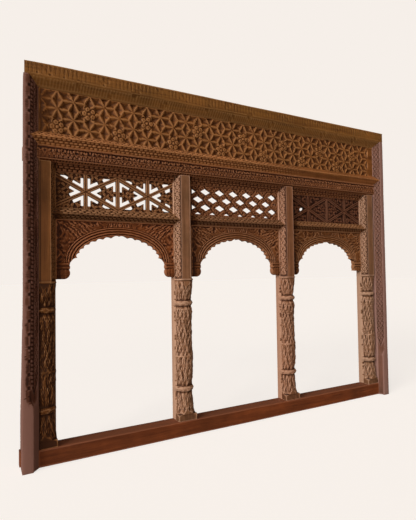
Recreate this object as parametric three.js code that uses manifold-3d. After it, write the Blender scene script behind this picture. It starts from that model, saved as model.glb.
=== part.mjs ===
// Carved wooden jharokha window: three cusped arches on carved posts, pierced grilles above
// them, and a star frieze under a fluted top rail.
// Millimetres. +X runs along the frame, +Y goes into the wall, +Z is up.
// Shapes are drawn from the back plane (y = 0) and the sill's underside (z = 0). The whole
// frame is then lowered so that the origin is the middle of the sill's back face.

import * as THREE from 'three';
import { mergeVertices } from 'three/addons/utils/BufferGeometryUtils.js';
import Module from 'manifold-3d';

const wasm = await Module();
wasm.setup();

// Fit between pieces
const gap = 0.3;
const over = 1;

// Overall sizes
const frameWidth = 1800;
const bodyDepth = 65;
const lipProud = 20;

// Heights, from the sill up
const sillHeight = 60;
const postHeight = 1004;
const lintelBand = 54;
const lintelDrop = 28;
const ledgeHeight = 47;
const friezeHeight = 157;
const railDrop = 33;
const railLip = 47;
const grilleHeight = 131;
const transomHeight = 43;
const archHeight = 218;
const stileFoot = 3;

// Stiles and their inner bevel
const stileLip = 22;
const stileBevel = 34;
const bevelDepth = 24;
const stopHeight = 205;
const stopRun = 40;
const stopLip = 36;
const stopSteps = 3;

// Posts and bays
const bayNames = ['left', 'middle', 'right'];
const jambInsetLeft = 76;
const jambInsetRight = 88;
const postWidth = 82;
const postFace = 40;
const postBevelDepth = 37;
const baseHeight = 25;
const abacusHeight = 8;
const columnSetBack = 41;
const columnRadius = 40;
const columnSides = 8;
const columnRelief = 0.03;

// Rails between the stiles
const ledgeNose = 17;
const ledgeNoseDrop = 18;
const ledgeCrest = 3;
const lintelStep = 8;
const lintelBevelDepth = 36;
const transomNoseDepth = 4;
const transomEdgeDepth = 30;
const transomBackDepth = 56;
const transomNoseDrop = 25;

// Through tenons, which stand a little proud of the stiles' outer sides
const tenonProud = 5;
const tenonThickness = 26;
const tenonBack = 8;
const tenonShoulder = 4;

// Star frieze
const friezeDepth = 4;
const friezeThickness = 30;
const friezeHalfRows = 5;
const friezeLap = 7;
const friezeBorder = 6;
const pitDepth = 8;
const petalCount = 5;
const rosetteRadius = 25;
const rosetteWaist = 18;

// Grilles
const grilleDepth = 38;
const grilleThickness = 14;
const barWidth = 14;
const slitWidths = { left: 12, right: 6 };
const slitReach = 0.43;
const starOverrun = 14.5;
const starMargin = 3;
const diamondPitch = 71.5;
const diamondRow = 34;
const diamondWidth = 52;
const diamondHeight = 30;
const diamondShift = -14;
const diamondTopDrop = 25.5;
const grilleEdge = 7;

// Arches
const archDepth = 31;
const archThickness = 22;
const archShifts = [6, 0, -7];
const archShoulder = 67;
const archRise = 94;
const archSpring = 62;
const cuspCount = 7;
const cuspBite = 7;
const apexNotch = 7;
const springAngle = THREE.MathUtils.degToRad(10);
const budRadius = 22;
const budSetBack = 46;
const budSweep = THREE.MathUtils.degToRad(120);
const budSides = 4;
const collarFoot = 38;
const collarTop = 58;
const neckReach = 19;
const neckRise = 66;
const bandOffset = 15;
const bandWidth = 9;
const bandProud = 4;
const bandSteps = 6;
const leafProud = 5;
const leafHalfWidth = 9;
const leafHalfLength = 16;
const leafSetBack = 42;
const leafPairs = 4;
const leafLowAngle = THREE.MathUtils.degToRad(18);
const leafHighAngle = THREE.MathUtils.degToRad(74);

// Carved rows
const leafPitch = 66;
const ropeGroove = 12;
const ropeDeep = 4;
const flutePitch = 60;
const fluteWidth = 20;
const fluteDeep = 4;
const fluteLength = 28;
const fluteDrop = 21;
const leafLean = 0.5;
const lintelLeafDrop = 22;
const lintelLeafLength = 32;

// Levels and places that follow from the sizes
const sillTop = sillHeight;
const lintelSeat = sillTop + postHeight;
const lintelEdge = lintelSeat - lintelDrop;
const lintelTop = lintelSeat + lintelBand;
const ledgeTop = lintelTop + ledgeHeight;
const friezeTop = ledgeTop + friezeHeight;
const railSeat = friezeTop + railDrop;
const railTop = railSeat + railLip;
const transomTop = lintelEdge - grilleHeight;
const transomBottom = transomTop - transomHeight;
const archFoot = transomBottom - archHeight;
const columnTop = archFoot - abacusHeight;
const halfWidth = frameWidth / 2;
const front = -bodyDepth;
const lipFront = front - lipProud;
const bevelInner = lipFront + bevelDepth;
const stileInner = halfWidth - stileLip - stileBevel;
const postPitch = (frameWidth - jambInsetLeft - jambInsetRight) / bayNames.length;
const postX = [0, ...bayNames.map((_, i) => i + 1)].map((i) => jambInsetLeft - halfWidth + i * postPitch);
const bayClear = postPitch - postWidth;
const archHalfSpan = bayClear / 2 - archShoulder;
const bays = bayNames.map((_, i) => (postX[i] + postX[i + 1]) / 2);

// Finishes
const finish = (color) => new THREE.MeshStandardMaterial({ color, roughness: 0.72, metalness: 0 });
const goldenWood = finish(0x7d5a32);
const purpleWood = finish(0x6b4a3c);
const paleWood = finish(0x94694a);
const redWood = finish(0x6e3e26);

// Geometry to solid and back
function solidOf(geometry) {
  const bare = geometry.clone();
  bare.deleteAttribute('normal');
  bare.deleteAttribute('uv');
  const joined = mergeVertices(bare, 1e-3);
  return new wasm.Manifold(new wasm.Mesh({
    numProp: 3,
    vertProperties: new Float32Array(joined.attributes.position.array),
    triVerts: new Uint32Array(joined.index.array),
  }));
}

function geometryOf(solid) {
  const mesh = solid.getMesh();
  const geometry = new THREE.BufferGeometry();
  geometry.setAttribute('position', new THREE.BufferAttribute(new Float32Array(mesh.vertProperties), 3));
  geometry.setIndex(new THREE.BufferAttribute(new Uint32Array(mesh.triVerts), 1));
  const flat = geometry.toNonIndexed();
  flat.computeVertexNormals();
  return flat;
}

const root = new THREE.Group();
root.position.z = -sillHeight / 2;

function place(name, solid, material) {
  const mesh = new THREE.Mesh(geometryOf(solid), material);
  mesh.name = name;
  root.add(mesh);
}

// Prisms: an outline drawn across a direction and run along it
const X = new THREE.Vector3(1, 0, 0);
const Y = new THREE.Vector3(0, 1, 0);
const Z = new THREE.Vector3(0, 0, 1);
const bases = {
  x: new THREE.Matrix4().makeBasis(Y, Z, X),
  y: new THREE.Matrix4().makeBasis(X, Z, Y.clone().negate()),
  z: new THREE.Matrix4().makeBasis(X, Y, Z),
};

function shapeOf(outline, holes = []) {
  const shape = new THREE.Shape(outline.map(([u, v]) => new THREE.Vector2(u, v)));
  shape.holes = holes.map((hole) => new THREE.Path(hole.map(([u, v]) => new THREE.Vector2(u, v))));
  return shape;
}

// Along x: outline in (y, z). Along z: outline in (x, y).
function prism(axis, outline, from, to) {
  const geometry = new THREE.ExtrudeGeometry(shapeOf(outline), { depth: to - from, bevelEnabled: false });
  geometry.translate(0, 0, from);
  return solidOf(geometry.applyMatrix4(bases[axis]));
}

// A board seen from the front: outline in (x, z), from its back face forward
function board(outline, depth, thickness, holes = []) {
  const shape = shapeOf(outline, holes);
  const geometry = new THREE.ExtrudeGeometry(shape, { depth: thickness, bevelEnabled: false });
  geometry.applyMatrix4(bases.y);
  return solidOf(geometry.translate(0, front + depth + thickness, 0));
}

function block(x0, x1, y0, y1, z0, z1) {
  const geometry = new THREE.BoxGeometry(x1 - x0, y1 - y0, z1 - z0);
  return solidOf(geometry.translate((x0 + x1) / 2, (y0 + y1) / 2, (z0 + z1) / 2));
}

function rectangle(x0, x1, z0, z1) {
  return [[x0, z0], [x1, z0], [x1, z1], [x0, z1]];
}

const joinAll = (solids) => wasm.Manifold.union(solids);

// A row of V grooves cut across a face. middle is the row's middle, step goes from one groove
// to the next, along is the groove's own direction and normal stands out of the face.
function grooveRow({ middle, step, count, along, normal, length, width, deep }) {
  const section = shapeOf([[-width / 2, over], [0, -deep], [width / 2, over]]);
  const groove = new THREE.ExtrudeGeometry(section, { depth: length, bevelEnabled: false });
  groove.translate(0, 0, -length / 2);
  const w = along.clone().normalize();
  const v = normal.clone().normalize();
  const u = new THREE.Vector3().crossVectors(v, w);
  groove.applyMatrix4(new THREE.Matrix4().makeBasis(u, v, w));
  const cuts = [];
  for (let i = 0; i < count; i += 1) {
    const at = middle.clone().addScaledVector(step, i - (count - 1) / 2);
    cuts.push(solidOf(groove.clone().translate(at.x, at.y, at.z)));
  }
  return joinAll(cuts);
}

// Stiles
function stileOutline(lip, grow) {
  return [
    [halfWidth, 0],
    [halfWidth, lipFront - grow],
    [halfWidth - lip - grow, lipFront - grow],
    [stileInner - grow, bevelInner - grow],
    [stileInner - grow, 0],
  ];
}

function mirrorX(outline) {
  return outline.map(([u, v]) => [-u, v]).reverse();
}

function stileBody(side, grow) {
  const turn = (outline) => (side < 0 ? mirrorX(outline) : outline);
  const upper = prism('z', turn(stileOutline(stileLip, grow)), stopHeight, railSeat - gap + grow);
  const lower = prism('z', turn(stileOutline(stopLip, grow)), -stileFoot - grow, stopHeight);
  const steps = [];
  for (let i = 1; i <= stopSteps; i += 1) {
    const lip = stopLip + (stileLip - stopLip) * (i / (stopSteps + 1));
    const top = stopHeight + (stopRun * i) / stopSteps;
    steps.push(prism('z', turn(stileOutline(lip, grow)), stopHeight - over, top));
  }
  return joinAll([upper, lower, ...steps]);
}

function tenonBlock(side, bottom, top, grow) {
  const inner = stileInner - over;
  const outer = halfWidth + tenonProud + (grow > 0 ? over : 0);
  const x0 = side < 0 ? -outer : inner;
  const x1 = side < 0 ? -inner : outer;
  const back = -tenonBack + grow;
  return block(x0, x1, -tenonBack - tenonThickness - grow, back, bottom - grow, top + grow);
}

const tenons = [
  [tenonShoulder, sillTop - tenonShoulder],
  [lintelSeat + tenonShoulder, lintelTop - tenonShoulder],
];

const grownStiles = joinAll([stileBody(-1, gap), stileBody(1, gap)]);

function makeStile(side) {
  const bevelNormal = new THREE.Vector3(-side * bevelDepth, -stileBevel, 0).normalize();
  const across = new THREE.Vector3(-side * stileBevel, bevelDepth, 0).normalize();
  const low = stopHeight + stopRun;
  const rope = grooveRow({
    middle: new THREE.Vector3(side * (halfWidth - stileLip - stileBevel / 2), lipFront + bevelDepth / 2,
      (low + railSeat) / 2),
    step: new THREE.Vector3(0, 0, leafPitch),
    count: Math.floor((railSeat - low) / leafPitch),
    along: across.clone().addScaledVector(Z, leafLean),
    normal: bevelNormal,
    length: stileBevel * 2,
    width: ropeGroove,
    deep: ropeDeep,
  });
  const mortises = tenons.map(([bottom, top]) => tenonBlock(side, bottom, top, gap));
  return stileBody(side, 0).subtract(rope).subtract(joinAll(mortises));
}

place('stile_left', makeStile(-1), purpleWood);
place('stile_right', makeStile(1), purpleWood);

// Top rail: runs over the stiles and meets their bevels in a mitre
function makeTopRail() {
  const outline = [
    [0, friezeTop],
    [0, railTop],
    [lipFront, railTop],
    [lipFront, railSeat],
    [bevelInner, friezeTop],
  ];
  const flutes = grooveRow({
    middle: new THREE.Vector3(0, lipFront, railTop - fluteDrop),
    step: new THREE.Vector3(flutePitch, 0, 0),
    count: Math.floor(frameWidth / flutePitch) - 1,
    along: Z,
    normal: Y.clone().negate(),
    length: fluteLength,
    width: fluteWidth,
    deep: fluteDeep,
  });
  return prism('x', outline, -halfWidth, halfWidth).subtract(grownStiles).subtract(flutes);
}

place('top_rail', makeTopRail(), goldenWood);

const betweenLips = halfWidth - stileLip;

// Ledge rail: a nosed moulding that laps over the frieze's lower edge. Its ends run to points
// on the stiles' bevels.
function makeLedge() {
  const nose = new THREE.Vector3(0, front - ledgeNose, ledgeTop - ledgeNoseDrop);
  const edge = front + friezeDepth - gap;
  const crest = new THREE.Vector3(0, edge - ledgeCrest, ledgeTop);
  const seat = ledgeTop - friezeLap - gap;
  const outline = [
    [0, lintelTop + gap],
    [0, seat],
    [edge, seat],
    [edge, crest.z],
    [crest.y, crest.z],
    [nose.y, nose.z],
    [edge, lintelTop + gap],
  ];
  const fall = new THREE.Vector3().subVectors(nose, crest);
  const leaves = grooveRow({
    middle: crest.clone().add(nose).multiplyScalar(0.5),
    step: new THREE.Vector3(leafPitch, 0, 0),
    count: Math.floor((2 * stileInner) / leafPitch),
    along: fall.clone().normalize(),
    normal: new THREE.Vector3(0, fall.z, -fall.y),
    length: ledgeHeight,
    width: ropeGroove,
    deep: ropeDeep,
  });
  return prism('x', outline, -betweenLips, betweenLips).subtract(grownStiles).subtract(leaves);
}

place('ledge_rail', makeLedge(), goldenWood);

// Posts: a carved half column below, and a bevelled post above it
// Column profile: shares of the carved height and of the column's radius
const columnProfile = [
  [0, 1], [0.05, 0.95], [0.12, 0.82], [0.172, 0.72], [0.196, 0.98], [0.222, 0.74], [0.315, 1],
  [0.42, 0.9], [0.6, 0.85], [0.722, 0.8], [0.767, 0.98], [0.807, 0.74], [0.833, 0.98],
  [0.859, 0.74], [0.93, 0.92], [1, 1],
];

function postOutline(grow) {
  const side = postWidth / 2 + grow;
  const face = postFace / 2 + grow;
  return [
    [-side, 0],
    [-side, front + postBevelDepth - grow],
    [-face, front - grow],
    [face, front - grow],
    [side, front + postBevelDepth - grow],
    [side, 0],
  ];
}

function upperPost(x, grow) {
  const outline = postOutline(grow).map(([u, v]) => [u + x, v]);
  return prism('z', outline, columnTop, lintelSeat - gap + grow);
}

const grownPosts = joinAll(postX.map((x) => upperPost(x, gap)));

function makePost(x) {
  const bottom = sillTop + gap;
  const blockTop = sillTop + baseHeight;
  const rise = columnTop - blockTop;
  const points = [new THREE.Vector2(0, blockTop - over)];
  columnProfile.forEach(([up, out]) => {
    points.push(new THREE.Vector2(out * columnRadius, blockTop + up * rise));
  });
  points.push(new THREE.Vector2(0, columnTop));
  const lathe = new THREE.LatheGeometry(points, columnSides);
  const spot = lathe.attributes.position;
  for (let i = 0; i < spot.count; i += 1) {
    const ring = i % points.length;
    const side = Math.floor(i / points.length) % columnSides;
    const scale = (ring + side) % 2 === 0 ? 1 + columnRelief : 1 - columnRelief;
    spot.setXYZ(i, spot.getX(i) * scale, spot.getY(i), spot.getZ(i) * scale);
  }
  lathe.rotateX(Math.PI / 2);
  const half = postWidth / 2;
  const room = block(x - half, x + half, front, 0, bottom, columnTop);
  const column = solidOf(lathe.translate(x, front + columnSetBack, 0)).intersect(room);
  const back = block(x - half, x + half, front + postBevelDepth, 0, bottom, columnTop + over);
  const base = block(x - half, x + half, front, 0, bottom, blockTop);
  const bevelRun = (postWidth - postFace) / 2;
  const ropes = [-1, 1].map((side) => grooveRow({
    middle: new THREE.Vector3(x + side * (half - bevelRun / 2), front + postBevelDepth / 2,
      (columnTop + lintelSeat) / 2),
    step: new THREE.Vector3(0, 0, leafPitch),
    count: Math.floor((lintelSeat - columnTop) / leafPitch),
    along: new THREE.Vector3(side * bevelRun, postBevelDepth, 0).normalize().addScaledVector(Z, -leafLean),
    normal: new THREE.Vector3(side * postBevelDepth, -bevelRun, 0),
    length: postBevelDepth * 2,
    width: ropeGroove,
    deep: ropeDeep,
  }));
  const upper = upperPost(x, 0).subtract(joinAll(ropes));
  return joinAll([upper, back, base, column]).subtract(grownStiles);
}

place('jamb_left', makePost(postX[0]), paleWood);
place('post_left', makePost(postX[1]), paleWood);
place('post_right', makePost(postX[2]), paleWood);
place('jamb_right', makePost(postX[3]), paleWood);

// Sill and lintel, with their through tenons
function withTenons(solid, [bottom, top]) {
  return joinAll([solid, tenonBlock(-1, bottom, top, 0), tenonBlock(1, bottom, top, 0)]);
}

function makeSill() {
  const outline = [[0, 0], [0, sillTop], [front, sillTop], [front, 0]];
  return withTenons(prism('x', outline, -betweenLips, betweenLips).subtract(grownStiles), tenons[0]);
}

place('sill', makeSill(), redWood);

function makeLintel() {
  const top = lintelTop - gap;
  const outline = [
    [0, lintelEdge],
    [0, top],
    [front, top],
    [front, lintelSeat + lintelStep],
    [front + lintelStep, lintelSeat],
    [front + lintelBevelDepth, lintelEdge],
  ];
  const leaves = grooveRow({
    middle: new THREE.Vector3(0, front, lintelTop - lintelLeafDrop),
    step: new THREE.Vector3(leafPitch, 0, 0),
    count: Math.floor((2 * stileInner) / leafPitch),
    along: new THREE.Vector3(leafLean, 0, 1),
    normal: Y.clone().negate(),
    length: lintelLeafLength,
    width: ropeGroove,
    deep: ropeDeep,
  });
  const body = prism('x', outline, -betweenLips, betweenLips).subtract(grownStiles).subtract(grownPosts);
  return withTenons(body.subtract(leaves), tenons[1]);
}

place('lintel', makeLintel(), purpleWood);

// Transoms under the grilles, nosed like the ledge, their ends scribed over the posts' bevels
function makeTransom(middleX) {
  const edge = front + transomEdgeDepth;
  const nose = front + transomNoseDepth;
  const noseHeight = transomTop - transomNoseDrop;
  const outline = [
    [front + transomBackDepth, transomBottom],
    [front + transomBackDepth, transomTop],
    [edge, transomTop],
    [nose, noseHeight],
    [edge, transomBottom],
  ];
  const reach = (bayClear + postWidth - postFace) / 2;
  const fall = new THREE.Vector3(0, nose - edge, noseHeight - transomTop);
  const leaves = grooveRow({
    middle: new THREE.Vector3(middleX, (edge + nose) / 2, (transomTop + noseHeight) / 2),
    step: new THREE.Vector3(leafPitch, 0, 0),
    count: Math.floor(bayClear / leafPitch),
    along: fall.clone().normalize().addScaledVector(X, leafLean),
    normal: new THREE.Vector3(0, fall.z, -fall.y),
    length: transomHeight,
    width: ropeGroove,
    deep: ropeDeep,
  });
  const body = prism('x', outline, middleX - reach, middleX + reach);
  return body.subtract(grownPosts).subtract(leaves);
}

// Grille panel: holes are cut inside a plain margin
function pierced(x0, x1, z0, z1, holes) {
  const through = (outline) => board(outline, grilleDepth - over, grilleThickness + 2 * over);
  const field = through(rectangle(x0 + grilleEdge, x1 - grilleEdge, z0 + grilleEdge, z1 - grilleEdge));
  const open = joinAll(holes.map(through)).intersect(field);
  return board(rectangle(x0, x1, z0, z1), grilleDepth, grilleThickness).subtract(open);
}

// Star grille: bars through two star points, and leaf fillings held between slits
function insetCorner(a, b, c, slitWidth) {
  const toB = new THREE.Vector2().subVectors(b, a);
  const toC = new THREE.Vector2().subVectors(c, a);
  const reachB = toB.length() * slitReach;
  const reachC = toC.length() * slitReach;
  toB.normalize();
  toC.normalize();
  const middle = new THREE.Vector2().addVectors(toB, toC).normalize();
  const half = Math.acos(THREE.MathUtils.clamp(toB.dot(toC), -1, 1)) / 2;
  const side = (line, reach, away, offset) => (
    a.clone().addScaledVector(line, reach).addScaledVector(away, offset)
  );
  const awayB = middle.clone().addScaledVector(toB, -middle.dot(toB)).normalize();
  const awayC = middle.clone().addScaledVector(toC, -middle.dot(toC)).normalize();
  const near = barWidth / 2;
  const far = near + slitWidth;
  return [
    a.clone().addScaledVector(middle, near / Math.sin(half)),
    side(toB, reachB, awayB, near),
    side(toB, reachB, awayB, far),
    a.clone().addScaledVector(middle, far / Math.sin(half)),
    side(toC, reachC, awayC, far),
    side(toC, reachC, awayC, near),
  ];
}

// The left grille's slits beside its left end are blind, all but the uppermost.
function makeStarGrille(middleX, name) {
  const x0 = middleX - bayClear / 2 + gap;
  const x1 = middleX + bayClear / 2 - gap;
  const z0 = transomTop + gap;
  const z1 = lintelEdge - gap;
  const across = (bayClear + 2 * starOverrun) / 4;
  const rise = grilleHeight / 2 - starMargin;
  const point = (column, row) => (
    new THREE.Vector2(middleX + column * across, (z0 + z1) / 2 + row * rise)
  );
  const slits = [];
  [-1, 1].forEach((star) => {
    [-1, 1].forEach((side) => {
      [-2, 0, 2].forEach((row) => {
        const away = Math.sign(row);
        const corners = row === 0
          ? [point(star, 0), point(star + side, -1), point(star + side, 1)]
          : [point(star, 0), point(star, row), point(star + side, away)];
        corners.forEach((corner, i) => {
          const blind = name === 'left' && star + side < -1 && i > 0 && row < 2;
          if (!blind) {
            const slit = insetCorner(corner, corners[(i + 1) % 3], corners[(i + 2) % 3], slitWidths[name]);
            slits.push(slit.map((v) => [v.x, v.y]));
          }
        });
      });
    });
  });
  return pierced(x0, x1, z0, z1, slits);
}

// Diamond grille: staggered rows of diamond holes
function makeDiamondGrille(middleX) {
  const x0 = middleX - bayClear / 2 + gap;
  const x1 = middleX + bayClear / 2 - gap;
  const z0 = transomTop + gap;
  const z1 = lintelEdge - gap;
  const holes = [];
  const rows = Math.floor((z1 - z0) / diamondRow) + 1;
  const columns = Math.ceil(bayClear / diamondPitch) + 1;
  for (let row = 0; row < rows; row += 1) {
    const z = z1 - diamondTopDrop - diamondRow * row;
    for (let column = 0; column < columns; column += 1) {
      const x = middleX + diamondShift + (column - columns / 2 + (row % 2) / 2) * diamondPitch;
      holes.push([
        [x - diamondWidth / 2, z],
        [x, z - diamondHeight / 2],
        [x + diamondWidth / 2, z],
        [x, z + diamondHeight / 2],
      ]);
    }
  }
  return pierced(x0, x1, z0, z1, holes);
}

// Cusped arch: an ellipse with bites along it, standing on rounded buds. Points are measured
// from the arch's own middle, which is a little off the bay's, and from its foot.
function archCurve(angle, offset) {
  return [(archHalfSpan + offset) * Math.cos(angle), archSpring + (archRise + offset) * Math.sin(angle)];
}

function halfArch(reach) {
  const points = [[reach, 0]];
  for (let i = 0; i <= budSides; i += 1) {
    const angle = -Math.PI / 2 - (i / budSides) * budSweep;
    const across = archHalfSpan + budSetBack + budRadius * Math.cos(angle);
    points.push([across, budRadius * (1 + Math.sin(angle))]);
  }
  const budEdge = archHalfSpan + budSetBack - budRadius;
  points.push([budEdge, collarFoot], [budEdge, collarTop], [archHalfSpan + neckReach, neckRise]);
  const steps = 3 * cuspCount;
  for (let i = 0; i < steps; i += 1) {
    const angle = springAngle + (Math.PI / 2 - springAngle) * (i / steps);
    points.push(archCurve(angle, cuspBite * Math.sin(((i % 3) / 3) * Math.PI)));
  }
  return points;
}

function makeArch(bayMiddle, shift) {
  const middleX = bayMiddle + shift;
  const reach = bayClear / 2 - gap;
  const height = transomBottom - gap - archFoot;
  const right = halfArch(reach - shift);
  const left = halfArch(reach + shift).map(([u, v]) => [-u, v]).reverse();
  const apex = [0, archSpring + archRise + apexNotch];
  const outline = [...right, apex, ...left, [-reach - shift, height], [reach - shift, height]];
  const set = (points) => points.map(([u, v]) => [middleX + u, archFoot + v]);
  const panel = board(set(outline), archDepth, archThickness);
  const bandEdge = (offset) => {
    const edge = [];
    for (let i = 0; i <= 2 * bandSteps; i += 1) {
      edge.push(archCurve(springAngle + (Math.PI - 2 * springAngle) * (i / (2 * bandSteps)), offset));
    }
    return edge;
  };
  const band = board(set([...bandEdge(bandOffset), ...bandEdge(bandOffset + bandWidth).reverse()]),
    archDepth - bandProud, bandProud + over);
  const leaves = [];
  for (let i = 0; i < leafPairs; i += 1) {
    [-1, 1].forEach((side) => {
      const angle = leafLowAngle + ((leafHighAngle - leafLowAngle) * i) / (leafPairs - 1);
      const [u, v] = archCurve(angle, leafSetBack);
      const leaf = new THREE.ConeGeometry(1, 2 * leafProud, 4);
      leaf.scale(leafHalfWidth, 1, leafHalfLength);
      leaf.rotateY(side * (Math.PI / 2 - angle));
      leaf.rotateX(Math.PI);
      leaves.push(solidOf(leaf.translate(middleX + side * u, front + archDepth, archFoot + v)));
    });
  }
  const room = board(set(rectangle(-reach - shift, reach - shift, 0, height)), archDepth - 2 * leafProud,
    archThickness + 2 * leafProud);
  return joinAll([panel, band, joinAll(leaves)]).intersect(room);
}

bays.forEach((middleX, i) => {
  const name = bayNames[i];
  place(`transom_${name}`, makeTransom(middleX), paleWood);
  place(`grille_${name}`, i === 1 ? makeDiamondGrille(middleX) : makeStarGrille(middleX, name), goldenWood);
  place(`arch_${name}`, makeArch(middleX, archShifts[i]), redWood);
});

// Star frieze. Star points stand on every second crossing of a grid of columns and half
// rows, with the middle of an upright sunk rhombus on each other crossing. The block between
// four crossings holds one slanted sunk rhombus and a quarter of two upright ones.
function makeFrieze() {
  const reach = stileInner - gap;
  const z0 = ledgeTop - friezeLap;
  const z1 = friezeTop - gap;
  const halfPitch = (z1 - z0) / friezeHalfRows;
  const columnPitch = halfPitch * Math.sqrt(3);
  const columns = Math.floor((2 * reach - friezeBorder) / columnPitch);
  const x0 = -reach + friezeBorder;
  const x1 = x0 + columns * columnPitch;
  const surface = front + friezeDepth;
  const back = surface + friezeThickness;
  const isStar = (i, j) => (i + j) % 2 === 0;
  const spot = (i, j, sunk) => [x0 + i * columnPitch, surface + sunk, z0 + j * halfPitch];
  const crossing = (i, j) => spot(i, j, isStar(i, j) ? 0 : pitDepth);
  const ridge = (i, j) => spot(i + (isStar(i, j) ? 2 / 3 : 1 / 3), j, 0);
  const corners = [];
  for (let i = 0; i < columns; i += 1) {
    for (let j = 0; j < friezeHalfRows; j += 1) {
      const star = isStar(i, j);
      const low = star ? j : j + 1;
      const high = star ? j + 1 : j;
      const [a, b, c, d] = [crossing(i, low), ridge(i, low), crossing(i + 1, high), ridge(i, high)];
      const middle = spot(i + 0.5, j + 0.5, pitDepth);
      const facets = [
        [a, b, middle], [b, c, middle], [c, d, middle], [d, a, middle],
        [b, crossing(i + 1, low), c], [d, crossing(i, high), a],
      ];
      facets.forEach(([p, q, r]) => corners.push(p, ...(star ? [q, r] : [r, q])));
    }
  }
  // Flat walls and back. Each is triangulated in two of its coordinates.
  const wall = (points, u, v, outward) => {
    const flat = points.map((point) => new THREE.Vector2(point[u], point[v]));
    THREE.ShapeUtils.triangulateShape(flat, []).forEach(([p, q, r]) => {
      const turn = flat[q].clone().sub(flat[p]).cross(flat[r].clone().sub(flat[p]));
      corners.push(points[p], ...(turn * outward > 0 ? [points[q], points[r]] : [points[r], points[q]]));
    });
  };
  const behind = (i, j) => [spot(i, j, 0)[0], back, spot(i, j, 0)[2]];
  const last = friezeHalfRows;
  [[0, -1], [last, 1]].forEach(([j, outward]) => {
    const line = [];
    for (let i = 0; i < columns; i += 1) {
      line.push(crossing(i, j), ridge(i, j));
    }
    wall([...line, crossing(columns, j), behind(columns, j), behind(0, j)], 0, 1, outward);
  });
  [[0, -1], [columns, 1]].forEach(([i, outward]) => {
    const line = [];
    for (let j = 0; j <= last; j += 1) {
      line.push(crossing(i, j));
    }
    wall([...line, behind(i, last), behind(i, 0)], 1, 2, outward);
  });
  wall([behind(0, 0), behind(columns, 0), behind(columns, last), behind(0, last)], 2, 0, 1);
  const geometry = new THREE.BufferGeometry();
  geometry.setAttribute('position', new THREE.Float32BufferAttribute(corners.flat(), 3));
  const borders = [
    block(-reach, x0 + over, surface, back, z0, z1),
    block(x1 - over, reach, surface, back, z0, z1),
  ];
  const flowers = [];
  for (let i = 1; i < columns; i += 2) {
    const [x, , z] = crossing(i, i % 4 === 1 ? 1 : 3);
    const petals = [];
    for (let k = 0; k < 2 * petalCount; k += 1) {
      const radius = k % 2 === 0 ? rosetteRadius : rosetteWaist;
      const angle = (k * Math.PI) / petalCount;
      petals.push([x + radius * Math.sin(angle), z + radius * Math.cos(angle)]);
    }
    flowers.push(board(petals, friezeDepth - over, pitDepth));
  }
  return joinAll([solidOf(geometry), ...borders, ...flowers]);
}

place('star_frieze', makeFrieze(), goldenWood);

export default root;
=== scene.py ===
import math

import bpy
import numpy as np
from mathutils import Matrix, Vector


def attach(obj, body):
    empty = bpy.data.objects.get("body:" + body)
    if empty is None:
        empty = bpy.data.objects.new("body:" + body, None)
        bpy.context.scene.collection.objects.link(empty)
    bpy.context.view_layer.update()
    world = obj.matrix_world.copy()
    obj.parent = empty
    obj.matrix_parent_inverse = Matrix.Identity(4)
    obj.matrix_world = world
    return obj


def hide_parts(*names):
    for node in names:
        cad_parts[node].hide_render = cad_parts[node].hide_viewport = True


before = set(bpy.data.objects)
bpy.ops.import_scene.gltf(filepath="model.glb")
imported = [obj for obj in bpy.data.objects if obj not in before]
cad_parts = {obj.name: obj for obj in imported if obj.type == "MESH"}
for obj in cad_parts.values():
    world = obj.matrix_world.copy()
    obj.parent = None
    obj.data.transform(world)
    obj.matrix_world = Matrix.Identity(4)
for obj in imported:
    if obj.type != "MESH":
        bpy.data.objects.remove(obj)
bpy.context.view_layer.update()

bl_info = {
    "name": "Carved jharokha window",
    "version": (1, 0, 0),
    "blender": (4, 5, 0),
    "location": "3D View > Sidebar > Window",
    "description": "Carved wooden window frame with cusped arches, pierced grilles and a star frieze",
    "category": "Object",
}

SILL_HALF = 30.0        # the frame's origin stands this far above the sill's underside, in mm

# Sizes in millimetres. x is measured from the middle of the frame, y from the flat back
# (negative towards the carved side) and z from the sill's underside.
HALF_WIDTH = 900.0
FRONT = -65.0
LIP_FRONT = -85.0
STILE_LIP = 22.0
STILE_INNER = 844.0
BEVEL_INNER = -61.0
RAIL_SEAT = 1355.0
RAIL_TOP = 1402.0
FRIEZE_TOP = 1322.0
FRIEZE_FOOT = 1158.0
LEDGE_TOP = 1165.0
LINTEL_TOP = 1118.0
LINTEL_SEAT = 1064.0
LINTEL_EDGE = 1036.0
TRANSOM_TOP = 905.0
TRANSOM_FOOT = 862.0
ARCH_FOOT = 644.0
COLUMN_TOP = 636.0
SILL_TOP = 60.0
STILE_FOOT = -3.0
BLOCK_TOP = 85.0
BLOCK_HALF = 40.0
GAP = 0.3
POST_PITCH = 1636.0 / 3
POST_X = [-824.0 + POST_PITCH * i for i in range(4)]
BAY_X = [(POST_X[i] + POST_X[i + 1]) / 2 for i in range(3)]
BAY_CLEAR = POST_PITCH - 82.0
BAYS = ("left", "middle", "right")
POST_HALF = 41.0
POST_FACE = 20.0
POST_SIDE = FRONT + 37.0
COLUMN_AXIS = FRONT + 41.0


# ---------------------------------------------------------------- carving, as heights in mm
def hump(x, power=1.0):
    return np.clip(1.0 - np.abs(x), 0.0, 1.0) ** power


def smooth(x, low=0.0, high=1.0):
    t = np.clip((x - low) / (high - low), 0.0, 1.0)
    return t * t * (3.0 - 2.0 * t)


def dice(cell, salt=0.0):
    """A number from 0 to 1 that looks random, the same each time for one cell."""
    return np.abs(np.sin(cell * 127.1 + salt * 311.7 + 0.37) * 43758.5453) % 1.0


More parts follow.
